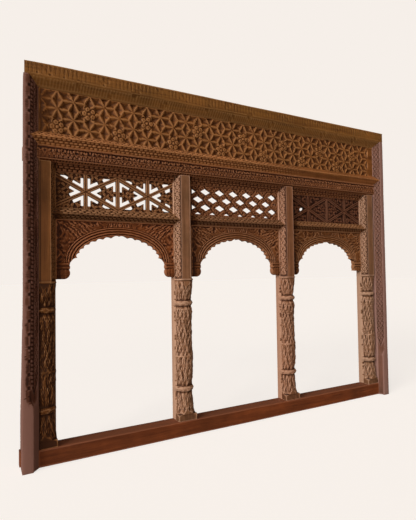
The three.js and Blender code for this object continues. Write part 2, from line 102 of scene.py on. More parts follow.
def rough(s, t, size, salt=0.0):
    """Slow unevenness from 0 to 1, as a blade leaves it."""
    total = 0.0
    waves = ((1.0, 0.35, 0.0), (-0.45, 1.13, 1.7), (0.81, -0.92, 4.1), (1.9, 1.7, 2.3))
    for k, (a, b, c) in enumerate(waves):
        total = total + np.sin((a * s + b * t) / size * (1 + 0.37 * k) + c + salt) / (1 + 0.5 * k)
    return 0.5 + total / 5.4


def leaf_row(s, t, pitch, lean, lobes=3, salt=0.0):
    """A row of leaves side by side. s runs along the row in mm, t across it from 0 to 1."""
    u = s / pitch + lean * t
    cell = np.floor(u)
    f = u - cell - 0.5
    f = f + 0.06 * (dice(cell, salt) - 0.5)
    width = 0.5 * np.sin(np.pi * np.clip(0.12 + 0.8 * t, 0, 1)) ** 0.6
    width = width * (0.9 + 0.1 * np.cos(2 * np.pi * lobes * t + np.pi))
    body = np.clip(1.0 - (f / np.maximum(width, 0.05)) ** 2, 0.0, 1.0) ** 0.55
    vein = np.exp(-((f / 0.07) ** 2))
    side_veins = 0.5 + 0.5 * np.cos(2 * np.pi * (lobes * 1.5 * t - 2.2 * np.abs(f)))
    return np.clip(body * (0.86 + 0.14 * side_veins) - 0.38 * vein * (body > 0.1), 0.0, 1.0)


def rope(s, t, pitch, lean):
    """Slanting strands, each rounded."""
    u = s / pitch + lean * t
    return np.abs(np.sin(np.pi * u)) ** 0.6


def leafage(x, z, size, turn=0.9, salt=0.0):
    """Close carved leaves that lean to and fro, over a plane."""
    gx, gz = x / size, z / size
    best = np.zeros_like(x)
    for ox in (-1, 0, 1):
        for oz in (-1, 0, 1):
            cx = np.floor(gx) + ox
            cz = np.floor(gz) + oz
            key = cx + 57.0 * cz
            px = cx + 0.5 + 0.5 * (dice(key, salt) - 0.5)
            pz = cz + 0.5 + 0.5 * (dice(key, salt + 3.3) - 0.5)
            angle = turn * np.where((cx + cz) % 2 == 0, 1.0, -1.0) + 1.1 * (dice(key, salt + 7.7) - 0.5)
            dx, dz = gx - px, gz - pz
            a = dx * np.cos(angle) + dz * np.sin(angle)
            b = -dx * np.sin(angle) + dz * np.cos(angle) + 0.25 * (a * a - 0.1)
            wide = 0.36 * np.clip(1.0 - 0.55 * a, 0.3, 1.5)
            body = np.clip(1.0 - (a / 0.78) ** 2 - (b / wide) ** 2, 0.0, 1.0) ** 0.5
            vein = np.exp(-((b / 0.06) ** 2)) * (body > 0.15)
            best = np.maximum(best, body * (0.8 + 0.2 * dice(key, salt + 1.1)) - 0.3 * vein)
    return np.clip(best, 0.0, 1.0)


def hand(s, t, size, amount, salt=0.0):
    """Moves places about a little, so that a pattern looks cut by hand."""
    return (s + amount * (2 * rough(s, t, size, salt) - 1),
            t + amount * (2 * rough(t, s, size, salt + 5.3) - 1))


def scales(s, t, pitch, tall, salt=0.0):
    """Overlapping pointed leaves in staggered rows, their tips towards greater t."""
    row = np.floor(t / tall)
    best = np.zeros_like(s)
    for k in (0, 1):
        r = row - k
        local = (t - r * tall) / (tall * 1.75)
        u = s / pitch + 0.5 * (r % 2) + 0.16 * (dice(r, salt) - 0.5)
        cell = np.floor(u)
        f = u - cell - 0.5 + 0.2 * (dice(cell + 31.0 * r, salt) - 0.5)
        wide = 0.58 * np.clip(1.0 - local, 0.0, 1.0) ** 0.5
        body = np.clip(1.0 - (f / np.maximum(wide, 0.03)) ** 2, 0.0, 1.0) ** 0.5 * (local < 1.0)
        vein = 0.3 * np.exp(-((f / 0.08) ** 2)) + 0.1 * (1 + np.cos(2 * np.pi * (2.0 * np.abs(f) - 1.6 * local)))
        lift = 0.5 + 0.5 * local * (0.7 + 0.6 * dice(cell + 13.0 * r, salt + 2.0))
        best = np.maximum(best, body * (lift - vein * (local > 0.08)))
    return np.clip(best, 0.0, 1.0)


def fronds(s, t, pitch, tall, salt=0.0):
    """Long ragged leaves in overlapping rows, each with two ribs, their tips towards greater t."""
    row = np.floor(t / tall)
    best = np.zeros_like(s)
    for k in (0, 1):
        r = row - k
        local = (t - r * tall) / (tall * 1.9)
        u = s / pitch + 0.5 * (r % 2) + 0.3 * dice(r, salt)
        cell = np.floor(u)
        f = u - cell - 0.5 + 0.16 * (dice(cell + 31.0 * r, salt) - 0.5)
        teeth = 1.0 + 0.12 * np.cos(2 * np.pi * 4.0 * local)
        wide = 0.56 * np.clip(1.0 - local, 0.0, 1.0) ** 0.6 * teeth
        body = np.clip(1.0 - (f / np.maximum(wide, 0.03)) ** 2, 0.0, 1.0) ** 0.5 * (local < 1.0)
        lift = 0.3 + 0.7 * local ** 0.8 * (0.7 + 0.6 * dice(cell + 13.0 * r, salt + 2.0))
        best = np.maximum(best, body * (lift - 0.14 * (1.0 + np.cos(2 * np.pi * 2.0 * f))))
    return np.clip(best, 0.0, 1.0)


def bricks(s, t, pitch, rows, salt=0.0):
    """Staggered rows of short rounded bars. t runs across the rows from 0 to 1."""
    r = np.floor(t * rows)
    g = t * rows - r - 0.5
    u = s / pitch + 0.5 * (r % 2) + 0.3 * dice(r, salt)
    cell = np.floor(u)
    f = u - cell - 0.5 + 0.14 * (dice(cell + 17.0 * r, salt) - 0.5)
    bar = np.clip(1.0 - (np.abs(f) / 0.45) ** 3, 0.0, 1.0) ** 0.6
    bar = bar * np.clip(1.0 - (np.abs(g) / 0.44) ** 2.4, 0.0, 1.0) ** 0.6
    return bar * (0.7 + 0.3 * dice(cell + 7.0 * r, salt + 4.0))


# ---------------------------------------------------------------- meshes
def clear_selection():
    if bpy.context.object and bpy.context.object.mode != "OBJECT":
        bpy.ops.object.mode_set(mode="OBJECT")
    bpy.ops.object.select_all(action="DESELECT")


def pick(piece):
    """Makes a piece the only one selected, and the active one."""
    clear_selection()
    piece.select_set(True)
    bpy.context.view_layer.objects.active = piece


def to_metres(points):
    out = np.array(points, dtype=np.float64).reshape(-1, 3)
    out[:, 2] -= SILL_HALF
    return out / 1000.0


def wrapped_grid(name, points, closed=True):
    """A grid primitive whose vertices are set to points, an array of rows by columns by xyz in mm.
    Its first and last columns meet, and both ends are filled."""
    rows, columns = points.shape[:2]
    clear_selection()
    bpy.ops.mesh.primitive_grid_add(x_subdivisions=columns - 1, y_subdivisions=rows - 1, size=1)
    piece = bpy.context.object
    piece.name = name
    piece.data.name = name
    piece.data.vertices.foreach_set("co", to_metres(points).astype(np.float32).ravel())
    piece.data.update()
    if closed:
        bpy.ops.object.mode_set(mode="EDIT")
        bpy.ops.mesh.select_all(action="SELECT")
        bpy.ops.mesh.remove_doubles(threshold=0.00001)
        bpy.ops.mesh.select_all(action="SELECT")
        bpy.ops.mesh.fill_holes(sides=0)
        bpy.ops.mesh.select_all(action="SELECT")
        bpy.ops.mesh.normals_make_consistent(inside=False)
        bpy.ops.object.mode_set(mode="OBJECT")
    return piece


def vertex_array(piece, key="co"):
    """The places or the normals of a piece's vertices, one row each."""
    values = np.empty(len(piece.data.vertices) * 3, np.float32)
    piece.data.vertices.foreach_get(key, values)
    return values.reshape(-1, 3)


def read_spots(piece):
    return vertex_array(piece).astype(np.float64)


def write_spots(piece, spots):
    piece.data.vertices.foreach_set("co", spots.astype(np.float32).ravel())
    piece.data.update()


def shade_smooth(piece, angle=38.0):
    pick(piece)
    bpy.ops.object.shade_smooth_by_angle(angle=math.radians(angle))


def stamp_relief(piece, wear=None):
    """Keeps on each vertex how far it stands out of its surroundings: 0 in a hollow, 0.5 on the
    flat, 1 on a sharp edge. wear(x, y, z), in mm, shifts it with real wear, painted shade and painted light.
    The finishes read it as the attribute relief: dark hollows for old wax and painted shade, pale edges for wear and
    painted highlights."""
    mesh = piece.data
    count = len(mesh.vertices)
    spot = read_spots(piece) * 1000.0
    normal = vertex_array(piece, "normal")
    ends = np.empty(len(mesh.edges) * 2, np.int32)
    mesh.edges.foreach_get("vertices", ends)
    a, b = ends[0::2], ends[1::2]
    near = np.bincount(a, minlength=count) + np.bincount(b, minlength=count)
    near = np.maximum(near, 1)

    def spread(value):
        total = np.bincount(a, weights=value[b], minlength=count)
        return (total + np.bincount(b, weights=value[a], minlength=count)) / near

    soft = spot.copy()
    for k in range(9):
        soft = np.stack([spread(soft[:, i]) for i in range(3)], axis=1)
        if k == 1:
            fine = ((spot - soft) * normal).sum(axis=1)
    broad = ((spot - soft) * normal).sum(axis=1)
    value = 0.5 + 0.5 * fine + 0.26 * broad
    if wear is not None:
        value = value + wear(spot[:, 0], spot[:, 1], spot[:, 2] + SILL_HALF)
    value = np.clip(value, 0.0, 1.0)
    layer = mesh.attributes.get("relief") or mesh.attributes.new("relief", "FLOAT", "POINT")
    layer.data.foreach_set("value", value.astype(np.float32))


def settle(piece, name, angle=38.0, wear=None):
    """The last steps that every piece shares. name is the node that the piece stands in for."""
    slot, along, tint, hollows, edges = LOOKS[name]
    shade_smooth(piece, angle)
    # wear brings real wear, painted shade and painted light into the relief attribute.
    stamp_relief(piece, wear=wear)
    piece.data.materials.clear()
    piece.data.materials.append(finish(slot, along, tint, hollows, edges))
    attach(piece, "root")
    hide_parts(name)


def outline_of(corners, carving, radius=2.0, turn=3):
    """A section with softened corners. corners are 2-D points in order round the section;
    carving gives for each side how many steps it has. Returns points, outward normals, the
    side's number (-1 on a corner) and the place along the side from 0 to 1."""
    corners = [np.array(c, float) for c in corners]
    count = len(corners)
    area = sum(corners[i][0] * corners[(i + 1) % count][1] - corners[(i + 1) % count][0] * corners[i][1]
               for i in range(count))
    sign = 1.0 if area > 0 else -1.0
    spots, normals, sides, places = [], [], [], []
    for i in range(count):
        here, after, before = corners[i], corners[(i + 1) % count], corners[i - 1]
        along = (after - here) / np.linalg.norm(after - here)
        came = (here - before) / np.linalg.norm(here - before)
        out_before = sign * np.array([came[1], -came[0]])
        out_after = sign * np.array([along[1], -along[0]])
        cut = min(radius, 0.3 * np.linalg.norm(after - here), 0.3 * np.linalg.norm(here - before))
        start, stop = here - came * cut, here + along * cut
        for k in range(turn + 1):
            f = k / turn
            spot = (1 - f) ** 2 * start + 2 * f * (1 - f) * here + f * f * stop
            normal = (1 - f) * out_before + f * out_after
            spots.append(spot)
            normals.append(normal / np.linalg.norm(normal))
            sides.append(-1)
            places.append(0.0)
        far = np.linalg.norm(corners[(i + 2) % count] - after)
        end_cut = min(radius, 0.3 * np.linalg.norm(after - here), 0.3 * far)
        end = after - along * end_cut
        for k in range(1, carving[i]):
            f = k / carving[i]
            spots.append(stop + (end - stop) * f)
            normals.append(out_after)
            sides.append(i)
            places.append(f)
    return np.array(spots), np.array(normals), np.array(sides), np.array(places)


def close_loop(points):
    return np.concatenate([points, points[:, :1]], axis=1)


def stations(start, stop, step):
    return np.linspace(start, stop, max(2, int(round((stop - start) / step)) + 1))


# ---------------------------------------------------------------- finishes
def group_value(group, name, kind, default, low=0.0, high=1.0):
    socket = group.interface.new_socket(name=name, in_out="INPUT", socket_type=kind)
    socket.default_value = default
    if kind == "NodeSocketFloat":
        socket.min_value = low
        socket.max_value = high


def node(tree, kind, x, y, sockets=None, **values):
    """Adds a node. sockets gives for its inputs their values, or the outputs that feed them."""
    made = tree.nodes.new(kind)
    made.location = (x, y)
    for key, value in values.items():
        setattr(made, key, value)
    for key, value in (sockets or {}).items():
        if isinstance(value, bpy.types.NodeSocket):
            tree.links.new(value, made.inputs[key])
        else:
            made.inputs[key].default_value = value
    return made


# The grain's masks: stretch along and across the grain, then the noise's scale, detail, roughness
# and distortion, and the range that is spread from 0 to 1.
GRAIN_MASKS = {
    "Rings": ((3.0, 60.0, 60.0), 1.0, 5.0, 0.6, 0.6, 0.32, 0.68),
    "Pores": ((22.0, 520.0, 520.0), 1.0, 3.0, 0.5, 0.0, 0.5, 0.75),
    "Patches": ((1.0, 1.0, 1.0), 7.0, 4.0, 0.65, 0.0, 0.3, 0.7),
}


def grain_group():
    """Wood grain along one direction: a colour mask, a fine pore mask and slow patches."""
    group = bpy.data.node_groups.new("Wood grain", "ShaderNodeTree")
    group_value(group, "Turn", "NodeSocketVector", (0.0, 0.0, 0.0))
    group_value(group, "Scale", "NodeSocketFloat", 1.0, 0.1, 10.0)
    for name in GRAIN_MASKS:
        group.interface.new_socket(name=name, in_out="OUTPUT", socket_type="NodeSocketFloat")
    source = node(group, "NodeGroupInput", -1400, 0)
    out = node(group, "NodeGroupOutput", 700, 0)
    place = node(group, "ShaderNodeTexCoord", -1400, -250)
    turned = node(group, "ShaderNodeMapping", -1180, 0,
                  {"Vector": place.outputs["Object"], "Rotation": source.outputs["Turn"]})
    size = node(group, "ShaderNodeVectorMath", -980, 0,
                {0: turned.outputs["Vector"], "Scale": source.outputs["Scale"]}, operation="SCALE")
    for row, (name, values) in enumerate(GRAIN_MASKS.items()):
        stretch, scale, detail, roughness, distortion, low, high = values
        y = 160 - 290 * row
        drawn = node(group, "ShaderNodeMapping", -780, y, {"Vector": size.outputs["Vector"], "Scale": stretch})
        noise = node(group, "ShaderNodeTexNoise", -560, y, {
            "Vector": drawn.outputs["Vector"], "Scale": scale, "Detail": detail, "Roughness": roughness,
            "Distortion": distortion})
        spread = node(group, "ShaderNodeMapRange", -340, y, {
            "Value": noise.outputs["Fac"], "From Min": low, "From Max": high})
        group.links.new(spread.outputs["Result"], out.inputs[name])
    return group


def age_group():
    """Dark old wax and painted shade in the hollows, and paler edges for wear and painted highlights, from the piece's
    relief attribute.
    """
    group = bpy.data.node_groups.new("Age", "ShaderNodeTree")
    group_value(group, "Colour", "NodeSocketColor", (0.3, 0.17, 0.08, 1.0))
    group_value(group, "Dark", "NodeSocketColor", (0.03, 0.015, 0.01, 1.0))
    group_value(group, "Worn", "NodeSocketColor", (0.5, 0.33, 0.2, 1.0))
    group_value(group, "Hollows", "NodeSocketFloat", 0.8)
    group_value(group, "Edges", "NodeSocketFloat", 0.5)
    group.interface.new_socket(name="Colour", in_out="OUTPUT", socket_type="NodeSocketColor")
    group.interface.new_socket(name="Worn", in_out="OUTPUT", socket_type="NodeSocketFloat")
    source = node(group, "NodeGroupInput", -900, 0)
    out = node(group, "NodeGroupOutput", 600, 0)
    relief = node(group, "ShaderNodeAttribute", -900, -300, attribute_name="relief",
                  attribute_type="GEOMETRY")

    def share(name, y, low, high):
        spread = node(group, "ShaderNodeMapRange", -650, y, {
            "Value": relief.outputs["Fac"], "From Min": low, "From Max": high},
            interpolation_type="SMOOTHSTEP")
        return node(group, "ShaderNodeMath", -430, y, {
            0: spread.outputs["Result"], 1: source.outputs[name]}, operation="MULTIPLY").outputs[0]

    hollow, edge = share("Hollows", -200, 0.52, 0.18), share("Edges", -480, 0.55, 0.9)
    worn = node(group, "ShaderNodeMix", -150, 100, data_type="RGBA", sockets={
        "Factor": edge, "A": source.outputs["Colour"], "B": source.outputs["Worn"]})
    dirt = node(group, "ShaderNodeMix", 150, 0, data_type="RGBA", sockets={
        "Factor": hollow, "A": worn.outputs["Result"], "B": source.outputs["Dark"]})
    group.links.new(dirt.outputs["Result"], out.inputs["Colour"])
    group.links.new(edge, out.inputs["Worn"])
    return group


TURNS = {"x": (0.0, 0.0, 0.0), "z": (0.0, math.pi / 2, 0.0)}


def wood(name, light, dark, worn, along, groups, hollows, edges, roughness=0.6):
    """A wood finish. light and dark are the grain's colours, worn the colour of rubbed edges, which also paints their
    highlights.
    """
    made = bpy.data.materials.new(name)
    made.use_nodes = True
    tree = made.node_tree
    tree.nodes.clear()

    def blend(x, y, factor, first, second, way="MIX"):
        return node(tree, "ShaderNodeMix", x, y, data_type="RGBA", blend_type=way, sockets={
            "Factor": factor, "A": first, "B": second}).outputs["Result"]

    grain = node(tree, "ShaderNodeGroup", -1000, 100, node_tree=groups["grain"])
    grain.inputs["Turn"].default_value = TURNS[along]
    rings, pores, patches = (grain.outputs[key] for key in GRAIN_MASKS)
    drawn = blend(-700, 200, rings, (*dark, 1.0), (*light, 1.0))
    tint = blend(-700, -100, patches, (0.66, 0.66, 0.6, 1.0), (1.12, 1.06, 1.02, 1.0))
    drawn = blend(-480, 200, 1.0, drawn, tint, "MULTIPLY")
    share = node(tree, "ShaderNodeMath", -480, -20, {0: pores, 1: 0.5}, operation="MULTIPLY")
    drawn = blend(-280, 200, share.outputs[0], drawn, (0.45, 0.38, 0.33, 1.0), "MULTIPLY")
    age = node(tree, "ShaderNodeGroup", -60, 200, node_tree=groups["age"])
    # The hollows' dark colour paints shade as well as old wax; the worn colour paints highlights as well as wear.
    for key, value in (("Worn", (*worn, 1.0)), ("Hollows", hollows), ("Edges", edges),
                       ("Dark", (dark[0] * 0.3, dark[1] * 0.22, dark[2] * 0.18, 1.0))):
        age.inputs[key].default_value = value
    tree.links.new(drawn, age.inputs["Colour"])
    dull = node(tree, "ShaderNodeMapRange", 180, -50, {
        "Value": patches, "To Min": roughness + 0.14, "To Max": roughness - 0.1})
    height = node(tree, "ShaderNodeMath", -60, -300, {0: rings, 1: pores}, operation="SUBTRACT")
    bump = node(tree, "ShaderNodeBump", 180, -300, {
        "Strength": 0.35, "Distance": 0.0006, "Height": height.outputs[0]})
    shader = node(tree, "ShaderNodeBsdfPrincipled", 420, 200, {
        "Base Color": age.outputs["Colour"], "Roughness": dull.outputs["Result"],
        "Specular IOR Level": 0.2, "Normal": bump.outputs["Normal"]})
    node(tree, "ShaderNodeOutputMaterial", 720, 200, {"Surface": shader.outputs["BSDF"]})
    return made


# For each node: its slot, the direction of its grain, its tint, and how strongly its hollows are darkened,
# for old wax and painted shade, and its edges made paler, for wear and painted highlights.
LOOKS = {
    "stile_left": ("purple_wood", "z", (0.886, 0.782, 0.758), 0.9, 0.9),
    "stile_right": ("purple_wood", "z", (1.018, 1.056, 1.100), 0.9, 0.9),
    "top_rail": ("golden_wood", "x", (1.110, 1.198, 0.801), 0.6, 0.6),
    "star_frieze": ("golden_wood", "x", (1.119, 1.072, 0.785), 0.7, 0.6),
    "ledge_rail": ("golden_wood", "x", (1.512, 1.461, 1.341), 0.8, 0.8),
    "lintel": ("dark_wood", "x", (1.236, 1.088, 0.642), 1.0, 1.0),
    "sill": ("red_wood", "x", (1.015, 0.788, 0.617), 0.3, 0.6),
    # The left jamb's darker tint paints the shade that the left stile casts on it.
    "jamb_left": ("pale_wood", "z", (0.763, 0.759, 0.508), 0.95, 1.0),
    "post_left": ("pale_wood", "z", (1.041, 1.281, 1.627), 0.95, 1.0),
    "post_right": ("pale_wood", "z", (0.941, 1.052, 1.273), 0.95, 1.0),
    "jamb_right": ("pale_wood", "z", (0.921, 1.156, 1.461), 0.95, 1.0),
    "transom_left": ("golden_wood", "x", (0.954, 1.012, 1.102), 0.9, 1.0),
    "transom_middle": ("golden_wood", "x", (0.812, 0.812, 0.885), 0.95, 1.0),
    "transom_right": ("golden_wood", "x", (0.906, 0.895, 0.843), 0.95, 1.0),
    "arch_left": ("red_wood", "x", (1.106, 0.936, 0.580), 0.95, 1.0),
    "arch_middle": ("red_wood", "x", (1.070, 1.083, 0.871), 1.0, 1.0),
    "arch_right": ("red_wood", "x", (1.035, 1.088, 0.785), 1.0, 1.0),
    "grille_left": ("golden_wood", "x", (0.900, 0.850, 0.750), 0.95, 0.9),
    "grille_middle": ("golden_wood", "x", (0.950, 0.780, 0.720), 0.95, 0.9),
    # The right grille's much darker tint partly paints the shade of its deep-set pattern.
    "grille_right": ("golden_wood", "x", (0.462, 0.328, 0.291), 1.0, 0.7),
}
FINISHES = {}


def finish(name, along, tint, hollows, edges):
    """The finish of one slot for one direction of the grain. tint shifts it for a single piece."""
    key = "_".join([name, along] + [format(int(100 * value), "03d") for value in (*tint, hollows, edges)])
    if key not in FINISHES:
        colours = bpy.context.scene.window_finish
        if "groups" not in FINISHES:
            FINISHES["groups"] = {"grain": grain_group(), "age": age_group()}
        base = [c * k for c, k in zip(getattr(colours, name), tint)]
        light = tuple(1.25 * c for c in base)
        dark = tuple(c * k for c, k in zip(base, (0.66, 0.6, 0.56)))
        # Paler and greyer: rubbed wood, and painted highlights on the edges.
        worn = tuple(min(1.0, c * k + 0.03) for c, k in zip(base, (1.6, 1.8, 2.1)))
        FINISHES[key] = wood(key, light, dark, worn, along, FINISHES["groups"], hollows, edges)
    return FINISHES[key]


# Marks on the relief for each kind of piece: wear, streaks, tone, painted shade and painted light.
def dusty_top(x, y, z):
    # The sill's top is made paler.
    return 0.7 * (z > SILL_TOP - 1.5)


def pale_bevel(x, y, z):
    # Painted light: the top rail's downward-facing bevel is made paler, as if lit from below.
    return 0.16 * (z < RAIL_SEAT - 2.0) * (y < BEVEL_INNER + 0.5)


def post_wear(x, y, z):
    """Keeps the posts' arrises from shining, paints shade on the left jamb, most on its column, and in its corner
    beside the stile, and makes the base blocks' fronts darker and the carved bevels paler.
    """
    away = np.abs(x[:, None] - np.array(POST_X)[None, :]).min(axis=1)
    arris = np.exp(-((away - POST_FACE) / 2.6) ** 2) + np.exp(-((away - POST_HALF) / 3.0) ** 2)
    arris = arris * (z > COLUMN_TOP + 2.0)
    # Painted shade: the left jamb darker, most of all its column, where the left stile's shadow falls.
    jamb = (x < POST_X[0] + POST_HALF + 2.0) * (0.04 + 0.26 * (z < COLUMN_TOP))
    # Painted shade in the corner where the jamb meets the left stile.
    corner = 0.5 * (1.0 - smooth(x, 2.0 - STILE_INNER, 9.0 - STILE_INNER))
    block = 0.14 * (z < BLOCK_TOP + 2.0) * (y < POST_SIDE)
    bevel = 0.1 * (z > COLUMN_TOP + 2.0) * (y < POST_SIDE - 2.0)
    bevel = bevel * (away > POST_FACE + 4.0) * (away < POST_HALF - 4.0)
    return bevel - 0.45 * arris - jamb - corner - block


def frieze_dirt(x, y, z):
    # Painted shade under the top rail, and beside the left stile.
    corner = 0.5 * smooth(z, FRIEZE_TOP - 9.0, FRIEZE_TOP - 3.0)
    corner = corner + 0.3 * (1.0 - smooth(x, 6.0 - STILE_INNER, 60.0 - STILE_INNER))
    # The right part is made darker too.
    return -corner - 0.12 * smooth(x, 150.0, 500.0)


def bay_dirt(x, y, z):
    """Painted shadow at the left end of each bay, in the corner beside the post, where the post's shadow falls."""
    away = x[:, None] - (np.array(BAY_X) - BAY_CLEAR / 2)[None, :]
    away = np.where(away < -30.0, 999.0, away).min(axis=1)
    return -0.5 * (1.0 - smooth(away, 3.0, 26.0))


def star_lines(x, z):
    """How far a place on a star grille is from its bars' middle lines, and from its nearest star."""
    across = (BAY_CLEAR + 29.0) / 4
    rise = 62.5
    folded = np.abs(np.abs(x) - across)
    upright = np.minimum(folded, np.abs(x))
    slanting = np.abs(folded * rise - np.abs(z) * across) / math.hypot(across, rise)
    return np.minimum(upright, slanting), np.hypot(folded, z)


def recess(line, star):
    """The recesses beside a star grille's bars, from 0 to 1. The right grille is sunk deeper there and painted with
    shade.
    """
    return np.exp(-((line - 11.0) / 4.2) ** 2) * smooth(star, 8.0, 20.0) * (1.0 - smooth(star, 50.0, 64.0))


def grille_dirt(x, y, z):
    # Painted shadow at the bay's left end; on the right grille, painted shade in the recesses by its bars and on the
    # sheet behind its slits.
    right = x > 300.0
    line, star = star_lines(x - BAY_X[2], z - (TRANSOM_TOP + LINTEL_EDGE) / 2)
    return bay_dirt(x, y, z) - right * (0.9 * recess(line, star) + 0.6 * (y > -21.0))


def scuffs(x, y, z):
    # A pale scuff; painted light on the downward-facing bevel, and painted shade under the ledge.
    mark = np.exp(-((x - 590.0) / 16.0) ** 2 - ((z - 1083.0) / 7.0) ** 2)
    return 0.6 * mark + 0.22 * (z < LINTEL_SEAT) - 0.6 * smooth(z, LINTEL_TOP - 12.0, LINTEL_TOP - 5.0)


def stile_wear(x, y, z):
    foot = (1.0 - smooth(z, 190.0, 255.0)) * (x < 0)
    streaks = 0.7 * (rough(6.0 * x, 0.5 * z, 20.0, 3.0) - 0.5) * (1.0 - foot) * (x < 0)
    lip = 0.5 * (y < LIP_FRONT + 4.0) * (x < 0)
    return 0.75 * foot - lip + 0.06 * (x > 0) + streaks


# ---------------------------------------------------------------- pieces
def outer_lean(height):
    """How far the left stile's outer side has been worn and planed back at each height."""
    return smooth(height, 120.0, 620.0) * (0.75 + 0.25 * height / RAIL_SEAT)


def stile(side, depth):
    """Outer upright: plain lip, carved bevel, stopped below with a pointed end."""
    z = np.concatenate([[STILE_FOOT, -1.0, -0.5], stations(0.0, RAIL_SEAT - GAP, 2.6)])
    rings = []
    for height in z:
        stop = smooth(height, 205.0, 245.0)
        lip = 36.0 - 14.0 * stop
        lean = outer_lean(height) * (side < 0)
        foot = height < -0.7
        inner = HALF_WIDTH - lip - 0.1 if foot else STILE_INNER
        corners = [
            (HALF_WIDTH - 10.0 * lean, 0.0), (HALF_WIDTH - 4.5 * lean, LIP_FRONT),
            (HALF_WIDTH - lip - 3.0 * lean, LIP_FRONT), (inner, BEVEL_INNER), (inner, 0.0),
        ]
        spots, normals, sides, places = outline_of(corners, (2, 3, 19, 3, 1), 2.4, 2)
        point = smooth(height - 248.0 - 110.0 * np.abs(places - 0.5), 0.0, 8.0)
        across, up = hand(places * 42.0, np.full_like(places, height), 24.0, 1.4, side)
        if side < 0:
            strand = rope(up, places, 14.0, 0.5) * hump((places - 0.24) / 0.24, 0.5)
            cut = np.maximum(strand, scales(across, -up, 13.0, 12.0, 2.0) * (places > 0.5))
        else:
            cut = scales(across, -up, 20.0, 13.0, 1.0)
        edge = smooth(np.minimum(places, 1 - places), 0.0, 0.06)
        worn = 0.55 + 0.6 * rough(places * 9.0, np.full_like(places, height), 26.0, side)
        low = np.where(sides == 2, depth * edge * point * (cut - 1.0) * worn, 0.0)
        wave = 1.3 * (rough(np.full_like(places, height), sides * 9.0 + places * 7, 60.0) - 0.6)
        nicks = -1.6 * hump(rough(np.full_like(places, height * 1.0), sides * 3.0, 9.0, 4.0) - 0.5, 1.0) ** 30
        low = low + np.where((sides == 1) | (sides == -1), np.minimum(wave, 0.0) + 0.4 * nicks, 0.0)
        if side < 0:
            for where, long in ((490.0, 0.35), (385.0, 0.5), (245.0, 0.6), (1010.0, 0.3)):
                crack = np.exp(-((height - where - 6.0 * places) / 1.3) ** 2) * (places < long)
                low = low - np.where(sides == 1, 2.2 * crack, 0.0)
            notch = hump(((height + 12.0) % 45.0 - 22.5) / 7.0, 0.7) * (height > 260.0)
            near = 1.0 - smooth(np.hypot(spots[:, 0] - corners[2][0], spots[:, 1] - corners[2][1]), 3.0, 9.0)
            low = low - 4.0 * notch * near
        moved = spots + normals * low[:, None]
        rings.append(np.stack([side * moved[:, 0], moved[:, 1], np.full(len(moved), height)], axis=1))
    return wrapped_grid("left_stile" if side < 0 else "right_stile", close_loop(np.array(rings)))


def stile_line(y):
    """How far out the stile's bevel stands at depth y."""
    f = np.clip((y - LIP_FRONT) / (BEVEL_INNER - LIP_FRONT), 0.0, 1.0)
    return HALF_WIDTH - STILE_LIP - (HALF_WIDTH - STILE_LIP - STILE_INNER) * f


def between_stiles(y, z):
    return stile_line(y) - GAP


def rail_piece(name, corners, steps, ends, carve, step=2.4, radius=2.0):
    """A moulding along x. ends(y, z) gives each section point's end, carve(side, t, x, y, z) the
    height of the carving on it."""
    spots, normals, sides, places = outline_of(corners, steps, radius)
    reach = ends(spots[:, 0], spots[:, 1])
    longest = reach.max()
    share = stations(-1.0, 1.0, step / longest)
    rings = []
    for f in share:
        x = f * reach
        low = carve(sides, places, x, spots[:, 0], spots[:, 1])
        moved = spots + normals * low[:, None]
        rings.append(np.stack([x, moved[:, 0], moved[:, 1]], axis=1))
    return wrapped_grid(name, close_loop(np.array(rings)))


def top_rail(depth):
    corners = [(0.0, FRIEZE_TOP), (0.0, RAIL_TOP), (LIP_FRONT, RAIL_TOP), (LIP_FRONT, RAIL_SEAT),
               (BEVEL_INNER, FRIEZE_TOP)]

    def ends(y, z):
        return np.where(z >= RAIL_SEAT - 0.9, HALF_WIDTH, stile_line(y) - GAP)

    def carve(sides, t, x, y, z):
        pitch = 15.5
        u = (x + 2.0 * np.sin(x / 41.0)) / pitch
        f = u - np.floor(u) - 0.5
        up = (z - 1359.0) / 36.0
        tip = np.clip(1.0 - (np.abs(f) / (0.47 * np.sqrt(np.clip(1.06 - up, 0.0, 1.0)) + 0.01)) ** 2, 0, 1) ** 0.5
        vein = 0.45 * np.exp(-((f / 0.09) ** 2)) * smooth(up, 0.0, 0.2)
        worn = 0.55 + 0.45 * smooth(rough(x, 1.5 * z, 38.0, 2.0), 0.2, 0.85)
        worn = worn * (0.5 + 0.5 * dice(np.floor(u), 3.0))
        flute = np.where((up > 0) & (up < 1.06), (tip - vein - 1.0) * worn, 0.0) * smooth(up, 0.0, 0.1)
        streak = rope(x + 3.0 * np.sin(x / 57.0), t, 11.0, 0.25) - 1.0
        streak = streak * (0.25 + 0.75 * rough(x, z, 45.0, 6.0)) * smooth(np.minimum(t, 1 - t), 0.0, 0.08)
        low = np.where(sides == 2, depth * 0.34 * flute, 0.0) + np.where(sides == 3, depth * 0.22 * streak, 0.0)
        hole = sum(np.exp(-(((x + 900.0 - hx) ** 2 + (z - 1364.0) ** 2) / 7.0))
                   for hx in (50.0, 92.0, 140.0, 190.0, 282.0))
        low = low - np.where(sides == 2, 2.4 * hole, 0.0)
        bruise = -1.1 * smooth(rough(x, z, 17.0, 9.0), 0.62, 0.9)
        low = low + np.where((sides == 2) | (sides == 3), bruise, 0.0)
        top = np.where((sides == 1) | (sides == -1), -1.2 * (1 - rough(x, y, 90.0, 5.0)), 0.0)
        corner = -4.0 * np.exp(-(x + HALF_WIDTH) / 45.0) * (z > RAIL_TOP - 4.0)
        return low + top + corner

    piece = rail_piece("top_fluted_rail", corners, (1, 3, 19, 13, 2), ends, carve, 2.6)
    spots = read_spots(piece)
    left = smooth(-spots[:, 0], 0.86, 0.9)
    back = 8.0 + 8.0 * (spots[:, 1] - LIP_FRONT / 1000) / 0.085
    spots[:, 0] += left * back / 1000.0 * (spots[:, 2] > (RAIL_SEAT - SILL_HALF - 1.0) / 1000)
    write_spots(piece, spots)
    return piece


